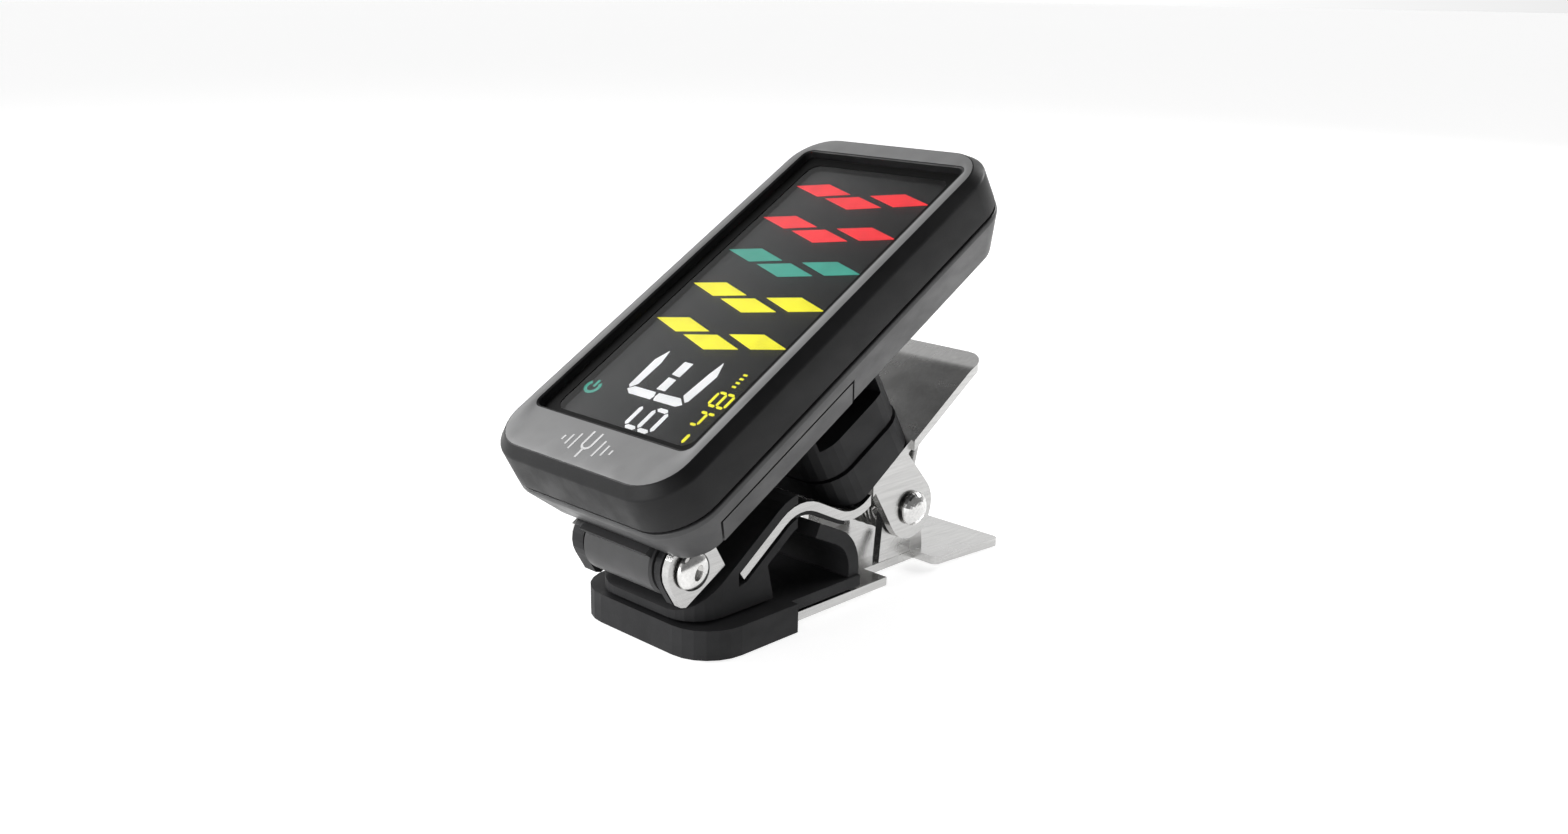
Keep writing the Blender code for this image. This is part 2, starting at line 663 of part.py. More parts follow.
def hinge_ear_outline():
    """Side outline of an ear about the tilt hinge: round in front, square below."""
    y, z = HINGE
    front = [(y + HINGE_EAR_R * math.cos(a), z + HINGE_EAR_R * math.sin(a))
             for a in [math.radians(90 + 15 * k) for k in range(7)]]
    low = z - HINGE_EAR_DROP
    nick = STEEL / 2
    return front + [
        (y - HINGE_EAR_R, low + nick), (y - HINGE_EAR_R + nick, low),
        (y + HINGE_EAR_BACK, low), (y + HINGE_EAR_BACK, z + HINGE_EAR_R - BURR),
    ]


def front_corner(side_sign):
    """What is cut away outside the round front corner of the turret."""
    x, y = side_sign * ARM_HALF, TURRET_FRONT
    outside = x + side_sign * MM
    arc = corner_arc((0, y), (x, y), (x, 0), TURRET_CORNER, 6)
    return arc + [(outside, arc[-1][1]), (outside, y - MM), (arc[0][0], y - MM)]


def make_hinge_arm(frame):
    """Arm: a turret over the swivel, a bar under the head and two ears at the tilt hinge."""
    y = HINGE[0]
    bar_front = y + KNUCKLE_R + 2 * GAP
    base = TURN_GAP / 2
    side = [
        (bar_front, BAR_TOP), (bar_front, BAR_BOTTOM), (TURRET_FRONT, BAR_BOTTOM),
        (TURRET_FRONT, base), (TURRET_REAR, base), (TURRET_REAR, BAR_TOP),
    ]
    arm = part("hinge_arm", sheet(side, -ARM_HALF, ARM_HALF, "X"), frame, plastic)
    plan = [(-ARM_HALF, 2 * y), (ARM_HALF, 2 * y), (ARM_HALF, TURRET_REAR), (-ARM_HALF, TURRET_REAR)]
    plan = rounded(plan, [0, 0, TURRET_CORNER, TURRET_CORNER])
    keep(arm, sheet(plan, -base, BAR_TOP + base, "Z"))
    for side_sign in (-1, 1):
        cut(arm, sheet(front_corner(side_sign), -MM, BAR_BOTTOM + BURR, "Z"))
    opening = (TURRET_FRONT + FRONT_POST, TURRET_REAR - REAR_POST)
    cut(arm, block((-2 * ARM_HALF, 2 * ARM_HALF), opening, (TURRET_SILL, BAR_BOTTOM)))
    wall = ARM_HALF - 2 * FRONT_POST
    cut(arm, block((-wall, wall), opening, (TURRET_FLOOR, BAR_BOTTOM - GAP)))
    ear_back = bar_front - y + FRONT_POST
    left = hinge_ear_outline()[:-2] + [(y + HINGE_EAR_BACK, HINGE[1] - HINGE_EAR_DROP),
                                       (y + HINGE_EAR_BACK, BAR_BOTTOM), (y + ear_back, BAR_BOTTOM + GAP),
                                       (y + ear_back, BAR_TOP - GAP)]
    add(arm, sheet(left, -ARM_HALF, -ARM_HALF + LEFT_EAR, "X"))
    right = KNUCKLE_RIGHT + TURN_GAP
    add(arm, sheet(left, right, right + RIGHT_EAR, "X"))
    cut(arm, cylinder(SCREW_R + GAP, -2 * ARM_HALF, 2 * ARM_HALF, "X", HINGE, sides=24))
    cut(arm, cylinder(RIVET_R + GAP, -base - MM, TURRET_FLOOR + MM, sides=24))
    return arm


def make_hinge_side_plate(frame):
    """Steel plate outside the right ear, under the screw's head."""
    blank = sheet(hinge_ear_outline(), ARM_HALF - SIDE_PLATE, ARM_HALF, "X")
    plate = part("hinge_side_plate", blank, frame, steel)
    cut(plate, cylinder(SCREW_R + GAP, 0, 2 * ARM_HALF, "X", HINGE, sides=24))
    return plate


def make_hinge_screw(frame):
    """Domed screw along the tilt hinge's axis, its slotted head on the right."""
    head_in = ARM_HALF + GAP
    end = -(ARM_HALF + GAP + NUT + GAP)
    dome = [(SCREW_HEAD_R * math.cos(a), head_in + SCREW_HEAD * (0.4 + 0.6 * math.sin(a)))
            for a in [math.radians(15 * k) for k in range(5, -1, -1)]]
    shank = [(SCREW_HEAD_R, head_in), (SCREW_R, head_in), (SCREW_R, end), (0, end)]
    profile = [(0, head_in + SCREW_HEAD)] + dome + shank
    screw = turned("hinge_screw", profile, frame, steel, axis="X", place=(0, *HINGE))
    reach = SCREW_HEAD_R / 2
    slot = block((-2 * GAP, 2 * GAP), (-reach, reach), (head_in + SCREW_HEAD / 2, head_in + 2 * SCREW_HEAD))
    cut_in_own_frame(screw, slot)
    return screw


def cut_in_own_frame(obj, mesh):
    """A cut whose helper follows the object's own axes."""
    cut(obj, mesh)
    helper = obj.modifiers[-1].object
    helper.rotation_euler = obj.rotation_euler


def make_hinge_nut(frame):
    inner = -ARM_HALF - GAP
    nut = part("hinge_nut", cylinder(NUT_R, inner - NUT, inner, "X", HINGE, sides=6), frame, steel)
    cut(nut, cylinder(SCREW_R + GAP, -2 * ARM_HALF, 0, "X", HINGE, sides=24))
    return nut


def make_swivel_washer(frame):
    low = TURRET_FLOOR + GAP
    washer = part("swivel_washer", cylinder(RIVET_HEAD_R + GAP, low, low + WASHER), frame, steel)
    cut(washer, cylinder(RIVET_R + GAP, low - MM, low + MM, sides=24))
    return washer


# ---------------------------------------------------------------- the head

def head_outline(out, inset=0.0):
    """The head's rounded outline, grown by out; a wall is measured inwards by inset."""
    grow = out - inset
    return rectangle(FACE_HALF + grow, -grow, FACE_LENGTH + grow, FACE_CORNER + grow)


def taper_out(depth):
    """How far the rear shell stands out past the face at a depth below it."""
    share = (depth - BAND) / (HEAD_DEPTH - BAND)
    return SEAM_OUT - share * (SEAM_OUT + TAPER_IN)


def make_front_bezel(frame):
    """Front shell with the display window and two screw bosses."""
    bottom = SEAM - GAP / 2
    shell = part("front_bezel", loft([
        (head_outline(0), 0), (head_outline(CHAMFER), -CHAMFER), (head_outline(SEAM_OUT), -bottom),
    ]), frame, bezel_plastic)
    inner = head_outline(SEAM_OUT, SHELL)
    cut(shell, loft([(inner, -SHELL), (inner, -bottom - MM)]))
    half, front, far = WINDOW
    cut(shell, sheet(rectangle(half, front, far, WINDOW_CORNER, 3), -2 * SHELL, MM, "Z"))
    for side_sign in (-1, 1):
        centre = (side_sign * BOSS[0], BOSS[1])
        add(shell, cylinder(BOSS_R, -BOSS_END, -SHELL + GAP, centre=centre, sides=20))
        hole = (-BOSS_END - MM, -CASE_SCREW_TOP + GAP)
        cut(shell, cylinder(CASE_SCREW_R + GAP, *hole, centre=centre, sides=16))
    return shell


def make_rear_shell(frame):
    """Rear shell with the hinge knuckle, the battery opening and the button holes."""
    top = SEAM + GAP / 2
    wide = head_outline(SEAM_OUT)
    outside = loft([(wide, -top), (wide, -BAND), (head_outline(-TAPER_IN), -HEAD_DEPTH)])
    shell = part("rear_shell", outside, frame, shell_plastic)
    floor = HEAD_DEPTH - FLOOR
    inner = head_outline(SEAM_OUT, SHELL)
    cut(shell, loft([
        (inner, -top + MM), (inner, -BAND), (head_outline(taper_out(floor), SHELL), -floor),
    ]))
    knuckle_y, knuckle_z = HINGE_TO_FRONT, -HINGE_TO_FACE
    across = (KNUCKLE_LEFT, KNUCKLE_RIGHT)
    knuckle = cylinder(KNUCKLE_R, *across, "X", (knuckle_y, knuckle_z), sides=32)
    web = (knuckle_y - KNUCKLE_WEB, knuckle_y + KNUCKLE_WEB)
    add(shell, block(across, web, (knuckle_z, -HEAD_DEPTH + FLOOR / 2)))
    add(shell, knuckle)
    cut(shell, cylinder(SCREW_R + GAP, -ARM_HALF, ARM_HALF, "X", (knuckle_y, knuckle_z), sides=24))
    recess = WASHER + GAP
    for end, inward in ((KNUCKLE_LEFT, 1), (KNUCKLE_RIGHT, -1)):
        x = sorted((end - inward * MM, end + inward * recess))
        cut(shell, cylinder(WASHER_R + GAP, *x, "X", (knuckle_y, knuckle_z), sides=24))
    door_y = (CELL_Y - DOOR_SPAN - GAP, CELL_Y + DOOR_SPAN + GAP)
    cut(shell, block((DOOR_LEFT - GAP, 2 * FACE_HALF), door_y, (-HEAD_DEPTH - MM, -DOOR_TOP + GAP)))
    for middle, length in BUTTONS.values():
        y = (middle - length / 2 - BUTTON_GAP, middle + length / 2 + BUTTON_GAP)
        z = (-BUTTON_BOTTOM - BUTTON_GAP, -BUTTON_TOP + BUTTON_GAP)
        cut(shell, block((-2 * FACE_HALF, 0), y, z))
    for side_sign in (-1, 1):
        centre = (side_sign * BOSS[0], BOSS[1])
        add(shell, cylinder(BOSS_R, -floor - GAP, -BOSS_END - GAP, centre=centre, sides=20))
        below = -HEAD_DEPTH - MM
        cut(shell, cylinder(CASE_SCREW_R + GAP, below, -BOSS_END, centre=centre, sides=16))
        recess = -HEAD_DEPTH + CASE_SCREW_HEAD
        cut(shell, cylinder(CASE_SCREW_HEAD_R + GAP, below, recess, centre=centre, sides=20))
    return shell


def make_display(frame):
    """Lens, liquid-crystal panel, light guide and the strip that joins the panel to the board."""
    half, front, far = WINDOW
    lens = rectangle(half - GAP, front + GAP, far - GAP, WINDOW_CORNER - GAP, 3)
    part("display_lens", sheet(lens, -LENS_BOTTOM, -RECESS, "Z"), frame, lens_glass)
    lcd_half = FACE_HALF - LCD_INSET
    across = (-lcd_half, lcd_half)
    front_line = front - GAP
    part("lcd_panel", block(across, (front_line, far), (-LCD_BOTTOM, -LCD_TOP)), frame, lcd_glass)
    light_half = FACE_HALF - BACKLIGHT_INSET
    strip_front = far - GAP - CONNECTOR
    layer = (-LIGHT_BOTTOM, -LCD_BOTTOM - GAP)
    light = block((-light_half, light_half), (front_line, strip_front - GAP), layer)
    part("backlight_panel", light, frame, light_guide)
    strip = block((-CELL_R, CELL_R), (strip_front, far - GAP), layer)
    part("display_connector", strip, frame, rubber)


def make_electronics(frame):
    """Board with its chip, the cell and its contacts, and the vibration sensor."""
    near = BOSS[1] + BOSS_R + GAP
    half, end = FACE_HALF - BOARD_INSET, FACE_LENGTH - BOARD_REAR
    corners = [(-half, near), (half, near), (half, end), (-half, end)]
    board = rounded(corners, [0, 0, FACE_CORNER, FACE_CORNER])
    part("main_pcb", sheet(board, -BOARD_BOTTOM, -BOARD_TOP, "Z"), frame, board_green)
    chip_top = BOARD_BOTTOM + GAP
    chip_y = (CHIP_Y - CHIP_HALF, CHIP_Y + CHIP_HALF)
    chip = block((-CHIP_HALF, CHIP_HALF), chip_y, (-chip_top - CHIP, -chip_top))
    part("controller_chip", chip, frame, plastic)
    part("coin_cell", cylinder(CELL_R, -CELL_BOTTOM, -CELL_TOP, centre=(0, CELL_Y), sides=48), frame, steel)
    leaf_y = (CELL_Y - LEAF_HALF, CELL_Y + LEAF_HALF)
    leaf_z = (-CELL_TOP + GAP, -BOARD_BOTTOM - GAP)
    part("battery_contact_negative", block((-LEAF_REACH, LEAF_REACH), leaf_y, leaf_z), frame, brass)
    rim = -CELL_R - GAP
    strip_z = (-CELL_TOP - 2 * CELL / 3, -BOARD_BOTTOM - GAP)
    part("battery_contact_positive", block((rim - CONTACT, rim), leaf_y, strip_z), frame, brass)
    floor = HEAD_DEPTH - FLOOR
    disc = cylinder(PIEZO_R, -floor + GAP, -floor + GAP + CONTACT, centre=(0, PIEZO_Y), sides=32)
    part("piezo_sensor", disc, frame, brass)


def make_knuckle_washers(frame):
    """Friction washers let into both ends of the knuckle."""
    centre = (HINGE_TO_FRONT, -HINGE_TO_FACE)
    for name, end, inward in (("left", KNUCKLE_LEFT, 1), ("right", KNUCKLE_RIGHT, -1)):
        x = sorted((end, end + inward * WASHER))
        washer = part(f"friction_washer_{name}", cylinder(WASHER_R, *x, "X", centre, sides=24), frame, steel)
        cut(washer, cylinder(SCREW_R + GAP, -ARM_HALF, ARM_HALF, "X", centre, sides=24))


def make_case_screws(frame):
    for name, side_sign in (("left", -1), ("right", 1)):
        head = -HEAD_DEPTH + CASE_SCREW_HEAD - GAP
        top = -CASE_SCREW_TOP
        low = -HEAD_DEPTH + GAP / 2
        profile = [
            (0, top), (CASE_SCREW_R, top), (CASE_SCREW_R, head),
            (CASE_SCREW_HEAD_R, head), (CASE_SCREW_HEAD_R, low), (0, low),
        ]
        place = (side_sign * BOSS[0], BOSS[1], 0)
        turned(f"case_screw_{name}", profile, frame, steel, place=place)


def make_battery_door(frame):
    """Door over the cell that wraps up the right side, where it slides out."""
    def side_x(depth):
        return FACE_HALF + taper_out(depth)
    inner = HEAD_DEPTH - DOOR
    outside = [(DOOR_LEFT, -HEAD_DEPTH), (side_x(HEAD_DEPTH), -HEAD_DEPTH), (side_x(DOOR_TOP), -DOOR_TOP)]
    inside = [(side_x(z) - DOOR_FLANGE, -z) for z in (DOOR_TOP, inner)] + [(DOOR_LEFT, -inner)]
    span = (CELL_Y - DOOR_SPAN, CELL_Y + DOOR_SPAN)
    return part("battery_door", sheet(outside + inside, *span, "Y"), frame, shell_plastic)


def make_button(name, frame):
    """Cap through the left wall with a flange that keeps it in."""
    middle, length = BUTTONS[name]
    wall = FACE_HALF + taper_out((BUTTON_TOP + BUTTON_BOTTOM) / 2)
    flange_out = FACE_HALF + taper_out(BUTTON_BOTTOM + GAP) - SHELL - GAP
    cap = block((-wall - BUTTON_PROUD, -flange_out + GAP), (middle - length / 2, middle + length / 2),
                (-BUTTON_BOTTOM, -BUTTON_TOP))
    button = part(f"{name}_button", cap, frame, button_rubber)
    reach = length / 2 + 2 * GAP
    flange = block((-flange_out, -flange_out + BUTTON_FLANGE), (middle - reach, middle + reach),
                   (-BUTTON_BOTTOM - GAP / 2, -BOARD_BOTTOM - GAP))
    add(button, flange)
    return button


def make_switch(name, frame):
    """Side-acting switch on the board, a travel and a gap behind the button's flange."""
    middle, length = BUTTONS[name]
    flange_in = FACE_HALF + taper_out(BUTTON_BOTTOM + GAP) - SHELL - GAP - BUTTON_FLANGE
    nub = -flange_in + BUTTON_TRAVEL + GAP
    body_x = (nub + BUTTON_FLANGE, nub + BUTTON_FLANGE + SWITCH)
    body_y = (middle - SWITCH_HALF, middle + SWITCH_HALF)
    body = block(body_x, body_y, (-BUTTON_BOTTOM - GAP, -BOARD_BOTTOM - GAP))
    switch = part(f"{name}_switch", body, frame, steel)
    height = -(BUTTON_TOP + BUTTON_BOTTOM) / 2
    add(switch, cylinder(2 * GAP, nub, body_x[0] + GAP, "X", (middle, height), sides=12))
    return switch


# ---------------------------------------------------------------- assembly

def stand_on_origin(root):
    """Moves the whole object so that the bottom centre of its bounding box is the origin."""
    bpy.context.view_layer.update()
    graph = bpy.context.evaluated_depsgraph_get()
    corners = []
    for obj in parts.objects:
        if obj.type == "EMPTY":
            continue
        mesh = obj.evaluated_get(graph).to_mesh()
        corners += [obj.matrix_world @ vertex.co for vertex in mesh.vertices]
        obj.evaluated_get(graph).to_mesh_clear()
    low = [min(corner[i] for corner in corners) for i in range(3)]
    high = [max(corner[i] for corner in corners) for i in range(3)]
    root.location -= Vector(((low[0] + high[0]) / 2, (low[1] + high[1]) / 2, low[2]))
    bpy.context.view_layer.update()


clear_scene()
parts = new_collection(COLLECTION)
cutters = new_collection("cutters", hidden=True)

steel = new_material("nickel_steel", (0.72, 0.71, 0.69), 0.28, 1.0)
rubber = new_material("black_rubber", (0.018, 0.018, 0.02), 0.75)
plastic = new_material("black_plastic", (0.03, 0.03, 0.033), 0.5)
bezel_plastic = new_material("bezel_plastic", (0.05, 0.05, 0.055), 0.4)
shell_plastic = new_material("shell_plastic", (0.04, 0.04, 0.042), 0.45)
button_rubber = new_material("button_rubber", (0.06, 0.06, 0.065), 0.6)
lens_glass = new_material("lens_glass", (0.01, 0.01, 0.012), 0.08)
lcd_glass = new_material("lcd_glass", (0.03, 0.035, 0.04), 0.2)
light_guide = new_material("light_guide", (0.85, 0.87, 0.88), 0.35)
board_green = new_material("board_green", (0.02, 0.16, 0.07), 0.5)
brass = new_material("contact_brass", (0.78, 0.6, 0.3), 0.3, 1.0)

lower_jaw_frame = new_frame("lower_jaw_frame", place=(0, 0, PIVOT_HEIGHT))
upper_jaw_frame = new_frame("upper_jaw_frame", lower_jaw_frame)
swivel_frame = new_frame("swivel_frame", upper_jaw_frame, (0, *SWIVEL), ARM_TILT)
arm_frame = new_frame("arm_frame", swivel_frame)
head_frame = new_frame("head_frame", arm_frame, (0, *HINGE))
face_frame = new_frame("face_frame", head_frame, (0, -HINGE_TO_FRONT, HINGE_TO_FACE))
door_frame = new_frame("door_frame", face_frame)
power_frame = new_frame("power_button_frame", face_frame)
mode_frame = new_frame("mode_button_frame", face_frame)

make_lower_lever(lower_jaw_frame)
make_lower_boot(lower_jaw_frame)
make_torsion_spring(lower_jaw_frame)
make_pivot_pin(lower_jaw_frame)
make_upper_lever(upper_jaw_frame)
make_upper_boot(upper_jaw_frame)
make_swivel_base(upper_jaw_frame)
make_swivel_rivet(swivel_frame)
make_hinge_arm(arm_frame)
make_hinge_side_plate(arm_frame)
make_hinge_screw(arm_frame)
make_hinge_nut(arm_frame)
make_swivel_washer(arm_frame)
make_front_bezel(face_frame)
make_rear_shell(face_frame)
make_display(face_frame)
make_electronics(face_frame)
make_knuckle_washers(face_frame)
make_case_screws(face_frame)
make_battery_door(door_frame)
make_button("power", power_frame)
make_button("mode", mode_frame)
make_switch("power", face_frame)
make_switch("mode", face_frame)
stand_on_origin(lower_jaw_frame)
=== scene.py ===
"""Looks of a clip-on tuner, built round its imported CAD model."""

import json
import math

import bmesh
import bpy
from mathutils import Matrix, Vector
from mathutils.bvhtree import BVHTree


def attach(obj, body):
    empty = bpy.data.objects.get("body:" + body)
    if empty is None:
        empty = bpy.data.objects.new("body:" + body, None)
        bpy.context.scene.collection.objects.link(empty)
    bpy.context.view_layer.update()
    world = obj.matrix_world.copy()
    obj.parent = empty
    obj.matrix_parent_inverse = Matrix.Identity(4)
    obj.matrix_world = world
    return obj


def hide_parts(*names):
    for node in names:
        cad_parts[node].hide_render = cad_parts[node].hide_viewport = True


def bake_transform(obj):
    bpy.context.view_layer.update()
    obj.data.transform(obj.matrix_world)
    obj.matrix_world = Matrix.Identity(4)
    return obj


MM = 0.001

# How near a face its points lie, and how far a cutter reaches past what it cuts, in millimetres
ON_FACE = 0.01
PAST = 1

# Steps in each round corner of the head, and the angles at which shading stays crisp
RING_STEPS = 10
CREASE = math.radians(30)
WIRE_CREASE = math.radians(50)

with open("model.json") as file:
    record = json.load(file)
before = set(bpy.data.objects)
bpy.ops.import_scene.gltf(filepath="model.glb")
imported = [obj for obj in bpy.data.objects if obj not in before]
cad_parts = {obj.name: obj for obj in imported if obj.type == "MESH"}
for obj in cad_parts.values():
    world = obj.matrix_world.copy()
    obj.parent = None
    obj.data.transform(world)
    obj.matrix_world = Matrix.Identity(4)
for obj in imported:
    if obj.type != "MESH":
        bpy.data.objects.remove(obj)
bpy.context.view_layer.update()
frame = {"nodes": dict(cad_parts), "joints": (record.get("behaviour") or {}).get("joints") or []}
nodes = frame["nodes"]
joints = {joint["name"]: joint for joint in frame["joints"]}


# ---------------------------------------------------------------- frames of the CAD model

ARM_TILT = math.atan2(-joints["arm_swivel"]["axis"][1], joints["arm_swivel"]["axis"][2])
TILT = Matrix.Rotation(ARM_TILT, 4, "X")
PIVOT = Vector(joints["clip_pivot"]["pos_m"])
HINGE = Vector(joints["head_tilt"]["pos_m"])

CLIP = Matrix.Translation(PIVOT)
BARREL = Matrix.Translation(HINGE) @ TILT


def points_of(name, place):
    """A node's points in a local frame, in millimetres."""
    node = nodes[name]
    into = place.inverted() @ node.matrix_world
    return [into @ vertex.co / MM for vertex in node.data.vertices]


def extent(points):
    """Lowest and highest corner of some points."""
    low = Vector([min(point[axis] for point in points) for axis in range(3)])
    high = Vector([max(point[axis] for point in points) for axis in range(3)])
    return low, high


# The head's frame stands on the middle of the face's front edge
bezel_points = points_of("front_bezel", BARREL)
face_height = extent(bezel_points)[1].z
face_points = [point for point in bezel_points if point.z > face_height - ON_FACE]
face_low, face_high = extent(face_points)
HEAD = BARREL @ Matrix.Translation(Vector((0, face_low.y, face_height)) * MM)

# Sizes of the head, in millimetres
FACE_HALF = face_high.x
FACE_LENGTH = face_high.y - face_low.y
FACE_CORNER = 4.5
CHAMFER, CHAMFER_DROP = 1.0, 1.02
SEAM_INSET = 0.4
LEDGE = 1.5
LIP = 0.12
CASE_FLOOR = 1.2
CASE_TAPER = 1.0
DOOR_GAP = 0.3
BUTTON_GAP = 0.2
HOLE_CORNER = 0.6
RECESS_R, RECESS_DEPTH = 1.4, 0.8
ring_points = [
    point for point in face_points
    if abs(point.x) < FACE_HALF - 1 and face_low.y + 3 < point.y < face_high.y - 2
]
ring_low, ring_high = extent(ring_points)
WINDOW_HALF = ring_high.x
WINDOW_FRONT = ring_low.y - face_low.y
WINDOW_REAR = ring_high.y - face_low.y
WINDOW_CORNER = 1.0
RIM = extent(bezel_points)[1].x - FACE_HALF


def rim_of(name):
    """Lowest and highest place of a shell's widest part."""
    rim = [point for point in points_of(name, HEAD) if point.x > FACE_HALF + RIM - ON_FACE]
    low, high = extent(rim)
    return low.z, high.z


FRONT_SEAM = -rim_of("front_bezel")[0]
REAR_SEAM, BAND = -rim_of("rear_shell")[1], -rim_of("rear_shell")[0]
DEPTH = -extent(points_of("battery_door", HEAD))[0].z
LENS_LOW, LENS_HIGH = extent(points_of("display_lens", HEAD))
DISPLAY_TOP = extent(points_of("lcd_panel", HEAD))[1].z


# ---------------------------------------------------------------- shape helpers

def arc_corner(before, corner, after, radius, steps):
    """Points that round a corner of a polyline."""
    into = (Vector(before) - Vector(corner)).normalized()
    out = (Vector(after) - Vector(corner)).normalized()
    half = into.angle(out) / 2
    centre = Vector(corner) + (into + out).normalized() * (radius / math.sin(half))
    start = Vector(corner) + into * (radius / math.tan(half)) - centre
    end = Vector(corner) + out * (radius / math.tan(half)) - centre
    sweep = start.angle_signed(end)
    return [tuple(centre + Matrix.Rotation(-sweep * k / steps, 2) @ start) for k in range(steps + 1)]


def rounded(points, radii, closed=True, steps=8):
    """A line with its corners rounded; the ends of an open line stay as they are."""
    count = len(points)
    line = []
    for i, point in enumerate(points):
        if not closed and i in (0, count - 1):
            line.append(tuple(point))
            continue
        line += arc_corner(points[i - 1], point, points[(i + 1) % count], radii[i], steps)
    return line


def corners(left, right, front, rear):
    """The four corners of a rectangle."""
    return [(left, front), (right, front), (right, rear), (left, rear)]


def rectangle(half, front, rear, radius, steps=8):
    """A rounded rectangle that is the same on both sides of the middle."""
    return rounded(corners(-half, half, front, rear), [radius] * 4, steps=steps)


def head_ring(out, z):
    """The head's outline grown by out at a height, all in millimetres."""
    ring = rectangle(FACE_HALF + out, -out, FACE_LENGTH + out, FACE_CORNER + out, RING_STEPS)
    return [(x, y, z) for x, y in ring]


def window_ring(out, z):
    """The window's outline grown by out at a height, all in millimetres."""
    sides = (WINDOW_HALF + out, WINDOW_FRONT - out, WINDOW_REAR + out)
    return [(x, y, z) for x, y in rectangle(*sides, WINDOW_CORNER + out, RING_STEPS)]


def loft(rings, closed=False, paint=None):
    """Quads between rings in millimetres; paint gives a band's material index."""
    bm = bmesh.new()
    rows = [[bm.verts.new(Vector(point) * MM) for point in ring] for ring in rings]
    if closed:
        rows.append(rows[0])
    for band, (row, following) in enumerate(zip(rows, rows[1:])):
        for i in range(len(row)):
            j = (i + 1) % len(row)
            face = bm.faces.new((row[i], row[j], following[j], following[i]))
            face.material_index = paint(band) if paint else 0
    if not closed:
        bm.faces.new(rows[0])
        bm.faces.new(rows[-1])
    bmesh.ops.recalc_face_normals(bm, faces=bm.faces)
    return bm


def prism(outline, low, high, axis="Z"):
    """An outline in millimetres given a thickness along Z or X."""
    if axis == "Z":
        return loft([[(u, v, w) for u, v in outline] for w in (low, high)])
    return loft([[(w, u, v) for u, v in outline] for w in (low, high)])


def round_turn(steps):
    """Angles evenly round a full turn."""
    return [2 * math.pi * k / steps for k in range(steps)]


def lathe(profile, steps=48):
    """A closed turned shape about Z from (radius, height) points in millimetres."""
    bm = bmesh.new()
    rows = []
    for radius, height in profile:
        angles = round_turn(steps) if radius > 0 else [0]
        points = [Vector((radius * math.cos(angle), radius * math.sin(angle), height)) for angle in angles]
        rows.append([bm.verts.new(point * MM) for point in points])
    for row, following in zip(rows, rows[1:]):
        for i in range(steps):
            j = (i + 1) % steps
            if len(row) == 1:
                bm.faces.new((row[0], following[j], following[i]))
            elif len(following) == 1:
                bm.faces.new((row[i], row[j], following[0]))
            else:
                bm.faces.new((row[i], row[j], following[j], following[i]))
    bmesh.ops.recalc_face_normals(bm, faces=bm.faces)
    return bm


def crosswise(bm):
    """Turns a lathed shape's axis from Z to X."""
    bmesh.ops.transform(bm, matrix=Matrix.Rotation(math.radians(90), 4, "Y"), verts=bm.verts)
    return bm


def joined(*shapes):
    """Several bmeshes as one."""
    whole = bmesh.new()
    for shape in shapes:
        mesh = bpy.data.meshes.new("shape")
        shape.to_mesh(mesh)
        shape.free()
        whole.from_mesh(mesh)
        bpy.data.meshes.remove(mesh)
    return whole


def placed(name, bm, place, materials, crease=CREASE):
    """An object in the scene, from a bmesh in a local frame."""
    bmesh.ops.transform(bm, matrix=place, verts=bm.verts)
    mesh = bpy.data.meshes.new(name)
    bm.to_mesh(mesh)
    bm.free()
    mesh.shade_smooth()
    mesh.set_sharp_from_angle(angle=crease)
    for material in materials:
        mesh.materials.append(material)
    obj = bpy.data.objects.new(name, mesh)
    bpy.context.scene.collection.objects.link(obj)
    return obj


def piece(name, bm, body, materials, place, replaces=()):
    """An object that rides on a body."""
    obj = placed(name, bm, place, materials)
    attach(obj, body)
    if replaces:
        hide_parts(*replaces)
    return obj


def carve(obj, bm, place, operation="DIFFERENCE"):
    """Applies a Boolean by a helper that is then removed."""
    helper = placed("helper", bm, place, [])
    modifier = obj.modifiers.new("carve", "BOOLEAN")
    modifier.operation = operation
    modifier.object = helper
    bpy.context.view_layer.update()
    graph = bpy.context.evaluated_depsgraph_get()
    carved = bpy.data.meshes.new_from_object(obj.evaluated_get(graph))
    obj.modifiers.remove(modifier)
    obj.data = carved
    bpy.data.objects.remove(helper)
    carved.shade_smooth()
    carved.set_sharp_from_angle(angle=CREASE)


def smooth_tree():
    """Geometry nodes that shade a mesh smooth, for objects whose own mesh stays as it is."""
    tree = bpy.data.node_groups.new("smooth_shading", "GeometryNodeTree")
    tree.interface.new_socket("Geometry", in_out="INPUT", socket_type="NodeSocketGeometry")
    tree.interface.new_socket("Geometry", in_out="OUTPUT", socket_type="NodeSocketGeometry")
    start, end = tree.nodes.new("NodeGroupInput"), tree.nodes.new("NodeGroupOutput")
    smooth = tree.nodes.new("GeometryNodeSetShadeSmooth")
    tree.links.new(start.outputs[0], smooth.inputs["Geometry"])
    tree.links.new(smooth.outputs["Geometry"], end.inputs[0])
    return tree


SMOOTH = smooth_tree()


def shade_round(obj):
    """Smooth shading with crisp edges for turned pieces and wire."""
    obj.modifiers.new("round", "NODES").node_group = SMOOTH
    split = obj.modifiers.new("crisp", "EDGE_SPLIT")
    split.split_angle = math.radians(38)


